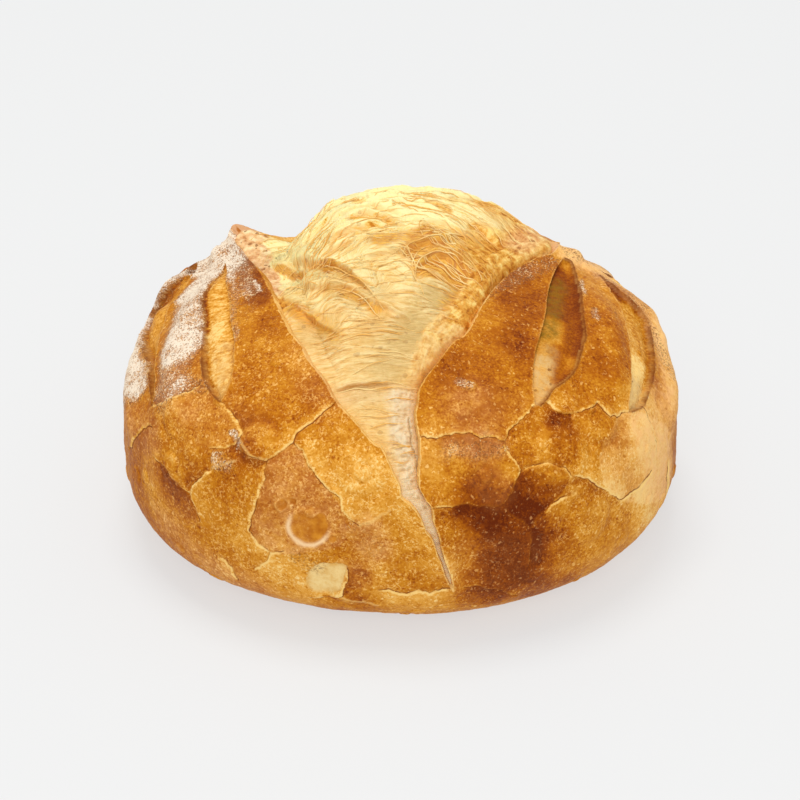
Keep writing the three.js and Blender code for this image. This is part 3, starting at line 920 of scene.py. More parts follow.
def grid(name, across, along):
    """A flat grid from -1 to 1 both ways, with its own map, ready to be shaped."""
    bpy.ops.object.select_all(action="DESELECT")
    bpy.ops.mesh.primitive_grid_add(x_subdivisions=across, y_subdivisions=along, size=2)
    ob = bpy.context.object
    ob.name = ob.data.name = name
    return ob, read(ob.data.vertices, "co", 3).astype(float)


def shape(ob, place, masks):
    """Writes the places, in mm from the heart, and the masks into the mesh."""
    me = ob.data
    me.vertices.foreach_set("co", ((place + HEART) / 1000).astype(np.float32).ravel())
    for key, values in masks.items():
        layer = me.attributes.new(key, "FLOAT", "POINT")
        layer.data.foreach_set("value", values.astype(np.float32))
    me.update()


def close_inside(ob):
    """Draws the sheet's rim in to one point near the heart, so that the piece is a closed solid."""
    me = ob.data
    middle = np.mean([v.co for v in me.vertices], axis=0)
    me.uv_layers.active.name = "OFBake"
    bpy.context.view_layer.objects.active = ob
    bpy.ops.object.mode_set(mode="EDIT")
    bpy.ops.mesh.select_mode(type="EDGE")
    bpy.ops.mesh.select_all(action="DESELECT")
    bpy.ops.mesh.select_non_manifold()
    bpy.ops.mesh.extrude_region()
    bpy.ops.mesh.merge(type="CENTER")
    bpy.ops.object.mode_set(mode="OBJECT")
    uv = me.uv_layers["OFBake"]
    flat = read(uv.uv, "vector", 2) * (1 - 2 * UV_MARGIN) + UV_MARGIN
    vertex = read(me.loops, "vertex_index")
    apex = int(np.bincount(vertex).argmax())
    me.vertices[apex].co = Vector((HEART + APEX_REACH * (1000 * middle - HEART)) / 1000)
    start = read(me.polygons, "loop_start")
    for f in np.flatnonzero(read(me.polygons, "loop_total") == 3):
        loops = np.arange(start[f], start[f] + 3)
        tip = loops[vertex[loops] == apex]
        if len(tip):
            rest = loops[vertex[loops] != apex]
            middle = flat[rest].mean(0)
            away = np.abs(middle - 0.5)
            out = np.where(away == away.max(), np.sign(middle - 0.5), 0)
            flat[tip] = middle + 0.9 * UV_MARGIN * out
    uv.uv.foreach_set("vector", flat.astype(np.float32).ravel())
    bpy.ops.object.mode_set(mode="EDIT")
    bpy.ops.mesh.select_all(action="SELECT")
    bpy.ops.mesh.normals_make_consistent(inside=False)
    bpy.ops.object.mode_set(mode="OBJECT")
    bpy.ops.object.shade_smooth_by_angle(angle=math.radians(70))
    print(ob.name, len(me.vertices), "vertices", len(me.polygons), "faces")


# %% [markdown]
# ## The crust
# A ball is easiest to cover evenly with the six sides of a cube blown up to a sphere. Each side starts as a
# flat grid, is bent round the heart, and is then given the crust's relief.

# %% Crust pieces
# Each side of the cube: the way it faces, and the ways its grid runs across and up.
SIDES = {
    "crust_crown": ((0, 0, 1), (1, 0, 0), (0, 1, 0)),
    "crust_front": ((0, -1, 0), (1, 0, 0), (0, 0, 1)),
    "crust_right": ((1, 0, 0), (0, 1, 0), (0, 0, 1)),
    "crust_back": ((0, 1, 0), (-1, 0, 0), (0, 0, 1)),
    "crust_left": ((-1, 0, 0), (0, -1, 0), (0, 0, 1)),
    "crust_base": ((0, 0, -1), (1, 0, 0), (0, -1, 0)),
}
BASE_CELLS = 40
pieces = []
for name, (facing, across, up) in SIDES.items():
    cells = BASE_CELLS if name == "crust_base" else CRUST_CELLS
    side, co = grid(name, cells, cells)
    bent = np.tan(co * math.pi / 4)
    d = unit(np.array(facing) + bent[:, :1] * across + bent[:, 1:2] * up)
    place, p, masks = crust_shape(d)
    shape(side, place, oven(d, p, masks))
    close_inside(side)
    pieces.append(side)


# %% [markdown]
# ## The crumb
# The mound is bread pulled apart while it was soft: long fibres run across the burst and hang in folds, one
# over the other. Its sheet is much finer along the burst than across it, because the fibres lie across.

# %% Folds of the crumb, seen in the frame, with the height of their lips
FOLDS = [
    ([(276, 271), (282, 268), (294, 265), (306, 263), (318, 263), (330, 265), (342, 269), (353, 276),
      (362, 284), (370, 292), (380, 305)], 1.7),
    ([(295, 293), (305, 289), (316, 287), (328, 286), (340, 286), (350, 288), (360, 294), (368, 302),
      (376, 312)], 1.3),
    ([(288, 303), (300, 309), (312, 318), (324, 327), (338, 333)], 1.5),
    ([(345, 222), (353, 219), (362, 216), (372, 216), (382, 218), (392, 223), (400, 226)], 1.5),
    ([(332, 222), (342, 215), (354, 211), (368, 210), (384, 213), (398, 216), (408, 220)], 1.3),
    ([(330, 245), (340, 239), (350, 234), (362, 229), (374, 225), (388, 228)], 1.6),
    ([(322, 256), (334, 250), (344, 244), (356, 240)], 1.2),
    ([(362, 262), (378, 256), (394, 254), (410, 257)], 1.4),
    ([(402, 259), (410, 252), (420, 247), (432, 244), (446, 243), (458, 245)], 1.6),
    ([(413, 286), (414, 274), (421, 264), (433, 258), (446, 257), (458, 262), (466, 270), (474, 280)], 1.3),
    ([(420, 228), (432, 224), (446, 226), (458, 232), (470, 240)], 1.2),
    ([(474, 226), (484, 234), (492, 242), (500, 246)], 1.4),
    ([(300, 250), (312, 236), (326, 224), (340, 214)], 1.1),
    ([(364, 300), (380, 305), (396, 312), (412, 322)], 0.9),
    ([(333, 391), (346, 387), (360, 384), (376, 383), (390, 381)], 1.6),
]
ROLL_SEEN = [
    (520, 240), (498, 250), (480, 262), (468, 278), (462, 286), (452, 298), (445, 307), (432, 319),
    (420, 331), (416, 343), (408, 366), (398, 380),
]
CRUMB_ROWS = 600
CRUMB_COLUMNS = 160
GROOVE_SEEN = [(409, 418), (410, 430), (412, 446), (415, 456), (417, 466), (418, 480)]
groove_line = on_dough(curve(seen_at(GROOVE_SEEN, whole), 120))
groove_tree = tree_of(on_dough(groove_line + 0.6 * noise(groove_line, 2.5, 71)[:, None] * RIGHT))
roll_line = on_dough(curve(seen_at(ROLL_SEEN, whole), 240))
roll_tree = tree_of(roll_line)


# %% The fibres' way, and the waves that run along it
def arch(x, y):
    """How far in leans the fibres bend to the front: not in the valley, and most at the mound's sides."""
    return smooth(-30, 6, y) * (x - 2) ** 2 / 52


def fibre_way(x, y, p):
    """Places along and across the fibres, in mm."""
    across = MM_PER_DEGREE * (y + arch(x, y)) + 3.0 * noise(p, 30, 31) + 0.9 * noise(p, 12, 32)
    return MM_PER_DEGREE * x, across + 0.14 * noise(p, 3.5, 33)


def strand_net(along, across, size, turns, seed):
    """Sharp ridges along the fibres, in a few sets that cross each other at a slant."""
    best = np.zeros(len(along))
    for k, turn in enumerate(turns):
        q = np.stack([along * 0.09, across + turn * along, np.full(len(along), 5.0 * k)], 1)
        best = np.maximum(best, ridges(q, size, seed + k) ** 3)
    return best


def saw(s, soft):
    """A wave that leaps up at each whole number, over a share soft of the way, and sinks until the next."""
    part = s - np.floor(s)
    return np.where(part < soft, part / soft, (1 - part) / (1 - soft))


# %% The folds on the skin
fold_lines = []
for k, (places, lip) in enumerate(FOLDS):
    q = on_dough(curve(seen_at(places, whole), 40 * len(places)))
    side = np.cross(unit(q), unit(np.gradient(q, axis=0)))
    q = on_dough(q + (0.8 * noise(q, 6, 41 + k) + 0.3 * noise(q, 2, 81 + k))[:, None] * UP)
    side *= np.sign(side.mean(0) @ UP)
    level = fibre_way(*lean_of(unit(q)), q)[1].mean()
    length = np.concatenate([[0], np.cumsum(np.linalg.norm(np.diff(q, axis=0), axis=1))])
    fold_lines.append((q, tree_of(q), side, length, level, lip))
print(len(fold_lines), "folds laid")


def fold_relief(p, across):
    """The folds' lips and hollows, and the fibres' across-coordinate bent to run along the folds."""
    relief = np.zeros(len(p))
    shade = np.zeros(len(p))
    across = across.copy()
    for q, tree, side, length, level, lip in fold_lines:
        close = np.flatnonzero(np.linalg.norm(p - q.mean(0), axis=1) < length[-1] * 0.6 + 16)
        if not len(close):
            continue
        i, away = nearest(tree, p[close])
        signed = ((p[close] - q[i]) * side[i]).sum(1)
        fade = np.sin(math.pi * np.clip(length[i] / length[-1], 0.01, 0.99)) ** 0.5
        past = away - np.abs(signed)
        pull = fade * bell(signed, 6) * np.exp(-np.maximum(past - 0.5, 0) / 4)
        across[close] += pull * (signed + level - across[close])
        fade = fade * np.exp(-np.maximum(past - 0.5, 0) / 1.5)
        above = lip * np.exp(-np.maximum(signed, 0) / 6) * smooth(-0.9, 0.5, signed)
        below = -0.6 * lip * np.exp(-np.maximum(-signed, 0) / 3) * smooth(0.5, -0.9, signed)
        relief[close] += fade * (above + below)
        dark = fade * np.exp(-np.maximum(-signed, 0) / 2.6) * smooth(0.5, -0.5, signed) * min(lip / 2, 1)
        shade[close] = np.maximum(shade[close], dark)
    return relief, shade, across

# %% [markdown]
# ## How the crumb tore
# Where the crumb held it is smooth and pale, where it tore it is ragged and toasted, and the hollows under
# the folds are amber. The patches are capsules again, like those of the crust.
# The amber in the hollows under the folds is partly painted shade.

# %% Patches of the crumb: toasted tears, the valley's painted grey shade and the amber hollows, partly painted shade
TORN = [
    ((556, 238), (500, 262), 9, 0.95), ((500, 262), (464, 318), 7, 0.8), ((560, 236), (500, 212), 9, 0.8),
    ((437, 556), (451, 586), 4, 0.08), ((540, 246), (478, 262), 6, 0.4), ((500, 208), (462, 202), 7, 0.45),
    ((240, 236), (262, 262), 5, 1.0), ((262, 262), (282, 306), 2.5, 0.7), ((250, 230), (280, 236), 5, 0.9),
    ((345, 204), (362, 205), 2.5, 0.7), ((432, 203), (446, 212), 3, 0.7), ((476, 232), (500, 246), 5, 0.6),
    ((455, 240), (480, 262), 5, 0.4),
]
# The valley's grey is painted shade.
VALLEY_SHADE = [
    ((462, 262), (440, 300), 8, 0.8), ((440, 300), (412, 325), 8, 0.8), ((410, 335), (390, 365), 8, 0.6),
    ((394, 330), (372, 385), 9, 0.35), ((370, 240), (380, 250), 6, 0.3), ((300, 275), (350, 280), 4, 0.3),
]
CHALK = [
    ((403, 400), (408, 430), 6, 0.9), ((408, 430), (418, 490), 7, 1.0), ((420, 500), (450, 582), 6, 1.0),
    ((345, 395), (385, 392), 5, 0.25),
]
ROSY = [
    ((234, 230), (262, 244), 8, 1.0), ((250, 250), (284, 290), 6, 1.0), ((520, 245), (556, 240), 7, 0.6),
]
# Amber crumb. The patches along the folds' lips are painted shade.
AMBER_AND_SHADE = [
    ((280, 270), (330, 270), 2.6, 1.0), ((330, 270), (366, 286), 2.4, 0.6),
    ((290, 306), (336, 334), 4, 0.6), ((345, 292), (376, 310), 2.6, 0.7), ((425, 266), (466, 272), 7, 1.1),
    ((500, 262), (462, 312), 9, 0.9), ((462, 312), (440, 334), 5, 0.5), ((405, 255), (425, 250), 3, 0.5),
    ((352, 222), (374, 219), 1.8, 0.9), ((374, 219), (402, 226), 2, 0.5), ((434, 248), (472, 258), 8, 1.1),
    ((386, 240), (424, 240), 6, 0.6), ((352, 252), (386, 242), 5, 0.3), ((440, 236), (470, 244), 6, 0.8),
    ((270, 262), (298, 250), 5, 0.3), ((282, 296), (296, 330), 3.5, 0.35),
    ((330, 248), (366, 232), 2.5, 0.4), ((486, 236), (496, 246), 4, 0.6), ((484, 300), (470, 326), 3, 0.5),
    ((440, 352), (424, 378), 3, 0.5),
]
print(len(TORN), "torn and", len(AMBER_AND_SHADE), "amber patches")


# %% What pulling and tearing make
# Distance between two layers, and the sizes of the strands and of the threads between them, in mm.
LAYER_STEP = 4.4
STRAND_SIZE = 2.3
THREAD_SIZE = 1.1


def layers_and_strands(p, along, across, on_mound):
    """The stepped layers, where they are present, and the strands and threads along the fibres."""
    presence = smooth(-0.15, 0.55, noise(p, 15, 51) + 0.5 * noise(p, 6, 50))
    stretched = np.stack([along * 0.2, across * 0.6, np.zeros(len(p))], 1)
    steps = across / LAYER_STEP + 1.2 * noise(stretched, 9, 49)
    layers = saw(steps, 0.09) * presence * on_mound
    strands = strand_net(along, across, STRAND_SIZE, (0.0, 0.22, -0.2), 52)
    threads = strand_net(along, across, THREAD_SIZE, (0.05, -0.12), 63)
    return presence, layers, 0.8 * (strands - 0.5) + 0.35 * (threads - 0.5)


def torn_roll(p, y, to_right):
    """The torn sheet that rolls over beside the right flap, and the streaks that run along it."""
    i, to_roll = nearest(roll_tree, p)
    right_of = ((p - roll_line[i])[:, 0] > 0) & (y > -50)
    ragged = to_roll + 1.6 * noise(p, 5.5, 56) + 0.8 * noise(p, 2.2, 59)
    roll = np.where(right_of, smooth(0.0, 2.8, ragged), 0) * smooth(-50, -42, y) * smooth(34, 8, y)
    roll *= 1 - 0.5 * smooth(6, 0, to_right)
    way = np.stack([0.12 * i, 1.7 * to_roll + 1.5 * noise(p, 8, 68), np.zeros(len(p))], 1)
    return roll, ridges(way, 2.6, 65) ** 2


def torn_rags(p, y, to_left, edge, roll):
    """Where the crumb tore short: in the toasted patches, along the rim and on the roll."""
    rags = capsules(p + 2 * noise(p, 5, 57)[:, None], TORN, whole)
    rags += 0.45 * np.exp(-to_left / 1.2) * smooth(-40, -18, y)
    rags += 0.2 * np.exp(-edge / 0.8) * smooth(-66, -50, y) + smooth(30, 70, y) * np.exp(-edge / 7)
    return rags + 0.45 * roll * smooth(-0.2, 0.6, noise(p, 5, 58))


# %% The crumb's surface
def crumb_surface(x, y):
    """Places of the crumb at leans x, y, from the heart in mm, with its masks and its fibres' way."""
    d = leaning(x, y)
    p = on_dough(d)
    to_left = nearest(left_tree, p)[1]
    to_right = nearest(right_tree, p)[1]
    edge = np.minimum(to_left, to_right)
    base = crumb_radius(d, x, y, to_left, to_right)
    height, sink_left, sink_right = mound_at(y)
    sink = np.where(to_left < to_right, sink_left, sink_right)
    under = flaps(d) - np.minimum(sink, 3) - 1.3 * edge - 0.3

    # What the pull made: folds, layers and strands along the fibres
    along, across = fibre_way(x, y, p)
    folds, shade, across = fold_relief(p, across)
    on_mound = smooth(-1, 8, height)
    presence, layers, strands = layers_and_strands(p, along, across, on_mound)
    lumps = noise(p, 16, 54) + 0.5 * noise(p, 7, 55)
    groove = bell(nearest(groove_tree, p)[1], 0.45)
    roll, streaks = torn_roll(p, y, to_right)
    rags = torn_rags(p, y, to_left, edge, roll)
    soft = 1 - np.clip(0.6 * rags + 0.85 * roll, 0, 0.92)
    calm = noise(p, 13, 66) + 0.3 * noise(p, 5, 67) + 0.5 * (on_mound - 0.5)
    calm = (0.45 + 0.55 * smooth(-0.25, 0.4, calm)) * (0.6 + 0.4 * on_mound) * (1 - 0.5 * shade)
    crown = smooth(-32, 18, y) * smooth(30, 4, x - 0.2 * y) * (1 - 0.5 * smooth(30, 60, y))
    fibres = (1.4 * layers + strands * calm) * soft * (1 + 0.6 * crown)

    # What the tear left: ragged grain on the rags and the roll, tufts on the chalky tail
    rough = (0.3 * noise(p, 3, 61) + 0.3 * noise(p, 1.3, 62)) * (1 - 0.75 * roll)
    rough += 0.55 * (streaks - 0.5) * roll
    chalk = np.clip(capsules(p, CHALK, whole), 0, 1)
    tufts = (0.6 * noise(p, 4, 72) + 0.6 * noise(p, 1.6, 73)) * chalk * (y < -40)
    ragged = 1.5 * rough * np.clip(rags + 0.5 * roll + 0.12, 0, 1) + tufts
    relief = fibres + 0.7 * lumps * on_mound + 1.35 * folds + 1.4 * roll - 0.9 * groove + ragged
    radius = np.where(inside(x, y, burst_outline), base + relief * smooth(0, 3.0, edge), under)
    between = 0.5 * presence * on_mound * smooth(0.3, 0.0, layers) * soft
    amber = capsules(p + 1.5 * noise(p, 6, 63)[:, None], AMBER_AND_SHADE, whole)
    masks = {
        "torn": np.clip(rags, 0, 1),
        # Painted shade under the folds' lips, along the groove and between the layers.
        "shade": np.clip(shade + groove + between, 0, 1),
        "amber": np.clip(amber, 0, 1),
        # The valley mask is painted grey shade.
        "valley": np.clip(capsules(p, VALLEY_SHADE, whole) * (1 - roll), 0, 1),
        "chalk": chalk,
        "rosy": np.clip(capsules(p, ROSY, whole), 0, 1),
        # This mask follows the relief; the crumb's colour turns it into painted highlights on the crests
        # and painted shade in the hollows.
        "crest": np.clip(0.5 + 0.55 * fibres + 0.6 * ragged + 0.12 * np.clip(folds, -2, 2), 0, 1),
        "crown": crown,
        "roll": roll,
    }
    return d * radius[:, None], masks, np.stack([along, across], 1)


# %% The crumb's two sheets
# Millimetres of crumb to one unit of the fibres' map.
FIBRE_MAP = 100
# How far past the burst's edges the sheets go, in degrees of lean.
PAST_EDGE = 1.6


def burst_at(y, past):
    """The leans to the right of the burst's two edges at y, and this far past them."""
    low = np.interp(y, burst_left[:, 1], burst_left[:, 0]) - past
    high = np.interp(y, burst_right[:, 1], burst_right[:, 0]) + past
    return low, high


def crumb_sheet(name, y_low, y_high, rows):
    """A grid between the burst's edges, which it passes a little, from one lean to another."""
    sheet, co = grid(name, CRUMB_COLUMNS, rows)
    y = y_low + (y_high - y_low) * (co[:, 1] + 1) / 2
    low, high = burst_at(y, PAST_EDGE)
    x = low + (high - low) * (co[:, 0] + 1) / 2
    place, masks, fibre = crumb_surface(x, y)
    shape(sheet, place, masks)
    way = sheet.data.uv_layers.new(name="fibre")
    fibre = fibre[read(sheet.data.loops, "vertex_index")] / FIBRE_MAP
    way.uv.foreach_set("vector", fibre.astype(np.float32).ravel())
    sheet.data.uv_layers.active = sheet.data.uv_layers[0]
    close_inside(sheet)
    return sheet


pieces.append(crumb_sheet("crumb_front", -93, 12, CRUMB_ROWS))
pieces.append(crumb_sheet("crumb_back", 12, 79, int(CRUMB_ROWS * 0.66)))

# %% [markdown]
# ## Loose threads
# Where the crumb tore, single threads of gluten still span its folds. Each is a thin curve laid along the
# fibres and lifted off the sheet in its middle, then turned into a mesh with thin, closed ends.

# %% The threads that are seen
NET_SEEN = [
    [(401, 259), (412, 250), (424, 245), (438, 243), (450, 246), (463, 252)],
    [(414, 276), (412, 266), (417, 257), (424, 250), (430, 246)],
    [(417, 287), (415, 275), (419, 264), (428, 258), (440, 256), (453, 259), (465, 268), (474, 276)],
    [(425, 245), (420, 236), (419, 228), (424, 224)],
    [(438, 243), (448, 239), (462, 238), (466, 244)],
    [(450, 246), (460, 256), (470, 266), (476, 276), (480, 284)],
    [(392, 248), (404, 252), (412, 262), (416, 274)],
    [(396, 262), (406, 268), (416, 282), (424, 296)],
    [(415, 262), (427, 272), (440, 282), (452, 290)],
    [(430, 258), (442, 264), (456, 272), (462, 282)],
    [(372, 255), (386, 252), (400, 255), (410, 262)],
    [(345, 286), (334, 285), (322, 290), (312, 300), (308, 308)],
    [(330, 288), (343, 290), (356, 294), (366, 302), (376, 314), (384, 322)],
    [(308, 266), (324, 268), (340, 272), (354, 279), (366, 288), (376, 300), (386, 312)],
    [(318, 281), (330, 280), (344, 282), (356, 288)],
    [(280, 296), (292, 290), (306, 288), (320, 288)],
]
# Each thread: its leans, its radius and how far it is lifted in its middle, in mm.
threads = []
for places in NET_SEEN:
    line = curve(seen_at(places, whole), 6 * len(places))
    line = on_dough(line + 0.35 * noise(line, 3, len(places))[:, None] * UP)
    threads.append((np.stack(lean_of(unit(line)), 1), rng.uniform(0.22, 0.36), rng.uniform(0.15, 0.5)))
print(len(threads), "threads placed")

# %% Loose threads along the fibres
LOOSE_THREADS = 420
for k in range(LOOSE_THREADS):
    y0 = rng.uniform(-66, 36)
    low, high = burst_at(y0, -2)
    x0 = rng.uniform(low, high)
    reach = min(rng.uniform(3, 9), 0.45 * (high - low))
    xs = np.linspace(x0 - reach, x0 + reach, 15)
    slant = rng.normal(0, 0.16)
    ys = y0 - (arch(xs, y0) - arch(x0, y0)) + slant * (xs - x0)
    ys += 0.25 * np.sin(rng.uniform(0, 6) + 0.7 * xs)
    if inside(xs, ys, burst_outline).all() and (y0 > -12 or k % 3 == 0):
        threads.append((np.stack([xs, ys], 1), rng.uniform(0.13, 0.26), rng.uniform(0.05, 0.45)))
joined = np.vstack([leans for leans, _, _ in threads])
thread_places = crumb_surface(joined[:, 0], joined[:, 1])[0]
print(len(threads), "threads with the loose ones")

# %% One curve for all the threads
bundle = bpy.data.curves.new("crumb_threads", "CURVE")
bundle.dimensions = "3D"
bundle.bevel_depth = 0.001
bundle.bevel_resolution = 0
bundle.use_fill_caps = True
first = 0
for leans, thick, lift_up in threads:
    count = len(leans)
    p = thread_places[first : first + count]
    first += count
    bow = np.sin(math.pi * np.linspace(0, 1, count))
    r = np.linalg.norm(p, axis=1)
    high = np.array([r[max(0, i - 3) : i + 4].max() for i in range(count)])
    r = r + np.minimum(high - r, 1.0) * 0.6 * bow + lift_up * bow**0.7 - 0.1
    p = (unit(p) * r[:, None] + HEART) / 1000
    spline = bundle.splines.new("POLY")
    spline.points.add(count - 1)
    spline.points.foreach_set("co", np.hstack([p, np.ones((count, 1))]).astype(np.float32).ravel())
    spline.points.foreach_set("radius", (thick * (0.35 + 0.65 * bow**0.5)).astype(np.float32))

# %% The threads as a mesh
bundle_ob = bpy.data.objects.new("crumb_threads", bundle)
bpy.context.scene.collection.objects.link(bundle_ob)
bpy.ops.object.select_all(action="DESELECT")
bundle_ob.select_set(True)
bpy.context.view_layer.objects.active = bundle_ob
bpy.ops.object.convert(target="MESH")
bpy.ops.object.shade_smooth()
pieces.append(bundle_ob)
print(len(threads), "threads", len(bundle_ob.data.polygons), "faces")

# %% [markdown]
# ## Colours and shader helpers
# Colours are written as the screen shows them and turned into linear light here. Each material is a short
# chain: masks from the mesh choose between the bread's own colours, and noise breaks every mask up. A wire
# stands for a value on its way through the shader, so that such a chain can be written as a sum.

# %% Shader helpers
def light(r, g, b):
    """A colour in linear light from its 0 to 255 screen values."""
    c = np.array([r, g, b]) / 255
    lin = np.where(c < 0.04045, c / 12.92, ((c + 0.055) / 1.055) ** 2.4)
    return (*(float(v) for v in lin), 1.0)


class Wire:
    """A value that runs through a shader. Each sign in a sum adds a Math node and gives a new wire."""

    def __init__(self, nodes, socket):
        self.nodes = nodes
        self.socket = socket

    def __add__(self, other):
        return self.nodes.math("ADD", self, other)

    def __sub__(self, other):
        return self.nodes.math("SUBTRACT", self, other)

    def __rsub__(self, other):
        return self.nodes.math("SUBTRACT", other, self)

    def __mul__(self, other):
        return self.nodes.math("MULTIPLY", self, other)


class Nodes:
    """Adds nodes to a tree and links them."""

    def __init__(self, tree):
        self.tree = tree

    def set(self, socket, value):
        if isinstance(value, Wire):
            self.tree.links.new(value.socket, socket)
        else:
            socket.default_value = value

    def add(self, kind, inputs=None, **settings):
        """A new node with these settings and these inputs, picked by name or number."""
        node = self.tree.nodes.new(kind)
        for key, value in settings.items():
            setattr(node, key, value)
        for key, value in (inputs or {}).items():
            self.set(node.inputs[key], value)
        return node

    def wire(self, kind, inputs=None, output=0, **settings):
        """One output of such a new node."""
        return Wire(self, self.add(kind, inputs, **settings).outputs[output])

    def math(self, operation, a, b=0.0, clamp=False):
        return self.wire("ShaderNodeMath", {0: a, 1: b}, operation=operation, use_clamp=clamp)

    def larger(self, a, b):
        return self.math("MAXIMUM", a, b)

    def span(self, value, low, high, to_low=0.0, to_high=1.0):
        """A soft step from to_low to to_high, made while the value goes from low to high."""
        inputs = dict(enumerate((value, low, high, to_low, to_high)))
        return self.wire("ShaderNodeMapRange", inputs, interpolation_type="SMOOTHSTEP", clamp=True)

    def mix(self, factor, a, b):
        return self.wire("ShaderNodeMix", {"Factor": factor, 6: a, 7: b}, 2, data_type="RGBA")

    def mask(self, name):
        """A mask that the mesh carries."""
        return self.wire("ShaderNodeAttribute", output="Fac", attribute_name=name)

    def noise(self, vector, scale, detail=2.0, roughness=0.5, output=0):
        inputs = {"Vector": vector, "Scale": scale, "Detail": detail, "Roughness": roughness}
        return self.wire("ShaderNodeTexNoise", inputs, output)

    def ramp(self, value, stops):
        node = self.add("ShaderNodeValToRGB", {0: value})
        elements = node.color_ramp.elements
        while len(elements) < len(stops):
            elements.new(0.5)
        for element, (at, colour) in zip(elements, stops):
            element.position = at
            element.color = light(*colour)
        return Wire(self, node.outputs[0])

    def use(self, tree, output, **values):
        """An output of a shared effect, placed with its own values."""
        return self.wire("ShaderNodeGroup", values, output, node_tree=tree)


def group(name, outputs, **inputs):
    """A node group for a shared effect. Its inputs have start values, and the vector has none."""
    tree = bpy.data.node_groups.new(name, "ShaderNodeTree")
    for label, value in {"Vector": None, **inputs}.items():
        kind = "NodeSocketVector" if value is None else "NodeSocketFloat"
        socket = tree.interface.new_socket(label, in_out="INPUT", socket_type=kind)
        if value is not None:
            socket.default_value = value
    for label in outputs:
        tree.interface.new_socket(label, in_out="OUTPUT", socket_type="NodeSocketFloat")
    n = Nodes(tree)
    put = {socket.name: Wire(n, socket) for socket in n.add("NodeGroupInput").outputs}
    print("effect", name, "puts out", *outputs)
    return n, put, n.add("NodeGroupOutput").inputs


# %% [markdown]
# ## Effects that both materials use
# Flour lies as single grains, thick in the middle of a patch and thin at its rim. Mottling is the cloudy
# change of bake over a few millimetres that dough of uneven thickness shows. Specks are small round marks
# of uneven size, pale where a bubble's skin thinned and dark where it burst.

# %% Flour dust
n, put, out = group("flour_dust", ["Mask", "Height"], Amount=0.5, Grain=1250.0)
cloud = n.noise(put["Vector"], 170.0, 3.0, 0.6)
grain = n.noise(put["Vector"], put["Grain"], 2.0, 0.75)
excess = cloud * 0.5 + grain * 0.9 - (0.92 - put["Amount"] * 0.3)
mask = n.span(excess, -0.06, 0.12) * n.span(put["Amount"], 0.0, 0.12)
n.set(out["Mask"], mask)
n.set(out["Height"], mask * grain)
flour_dust = n.tree

# %% Mottling
n, put, out = group("mottle", ["Value"], Coarse=28.0, Middle=120.0, Fine=600.0)
coarse, middle, fine = [
    (n.noise(put["Vector"], put[key], 3.0, 0.6) - 0.5) * share
    for key, share in (("Coarse", 0.45), ("Middle", 0.55), ("Fine", 0.6))
]
n.set(out["Value"], coarse + middle + fine)
mottle = n.tree

# %% Specks
SPECK_BEND = 0.003
n, put, out = group("specks", ["Mask"], Scale=300.0, Size=0.3, Share=0.5)
bend = n.noise(put["Vector"], put["Scale"], output="Color")
bent = {0: bend, 1: (SPECK_BEND, SPECK_BEND, SPECK_BEND), 2: put["Vector"]}
bent = n.wire("ShaderNodeVectorMath", bent, operation="MULTIPLY_ADD")
cells = n.add("ShaderNodeTexVoronoi", {"Vector": bent, "Scale": put["Scale"]})
pick = n.add("ShaderNodeSeparateColor", {0: Wire(n, cells.outputs["Color"])})
size = put["Size"] * (Wire(n, pick.outputs[1]) * 1.1 + 0.45)
dot = n.span(size - Wire(n, cells.outputs["Distance"]), 0.0, 0.12)
n.set(out["Mask"], dot * n.math("LESS_THAN", Wire(n, pick.outputs[0]), put["Share"]))
specks = n.tree


# %% A bread material
def bread(name, look, bump, finish):
    """A material whose colour, roughness and bump height come from the function look."""
    mat = bpy.data.materials.new(name)
    mat.use_nodes = True
    mat.node_tree.nodes.clear()
    n = Nodes(mat.node_tree)
    colour, roughness, height = look(n, n.wire("ShaderNodeTexCoord", output="Object"))
    normal = n.wire("ShaderNodeBump", {"Height": height, "Distance": 0.001, "Strength": bump})
    inputs = {"Base Color": colour, "Roughness": roughness, "Normal": normal, **finish}
    shader = n.wire("ShaderNodeBsdfPrincipled", inputs)
    n.add("ShaderNodeOutputMaterial", {"Surface": shader})
    print(name, "has", len(n.tree.nodes), "nodes")
    return mat


# %% [markdown]
# ## Browned crust
# The bake value runs from scorched brown to pale gold through one ramp. Thin edges, cracks and score floors
# then take their own colours, and the flour goes on last.

# %% The crust's colours
CRUST_RAMP = [
    (0.0, (100, 36, 2)), (0.2, (136, 62, 4)), (0.4, (174, 96, 8)), (0.58, (202, 130, 28)),
    (0.76, (228, 164, 66)), (1.0, (248, 208, 128)),
]
BASE_BAKE = 0.5
PALE_MARK = light(240, 200, 140)
# The blush colours also paint the rim light along the far edges.
BLUSH_AND_RIM_LIGHT_DARK, BLUSH_AND_RIM_LIGHT_PALE = light(184, 112, 54), light(246, 188, 122)
CRACK_PALE, CRACK_DARK = light(242, 198, 120), light(126, 58, 12)
BARE_DARK, BARE_PALE = light(220, 172, 92), light(240, 210, 144)
DISC_DARK, DISC_PALE, CRESCENT = light(176, 98, 14), light(216, 142, 40), light(246, 208, 158)
OLIVE_FLOOR, CREAM_FLOOR, FLOOR_HOLE = light(138, 100, 20), light(218, 178, 116), light(118, 64, 16)
UNDER_LIP, RIM_BLUSH, RIM_BAKED = light(112, 50, 8), light(230, 180, 134), light(176, 92, 20)
FILM, SCORCHED = light(206, 162, 118), light(126, 74, 34)
FLOUR_THIN, FLOUR_THICK = light(248, 210, 148), light(246, 231, 208)


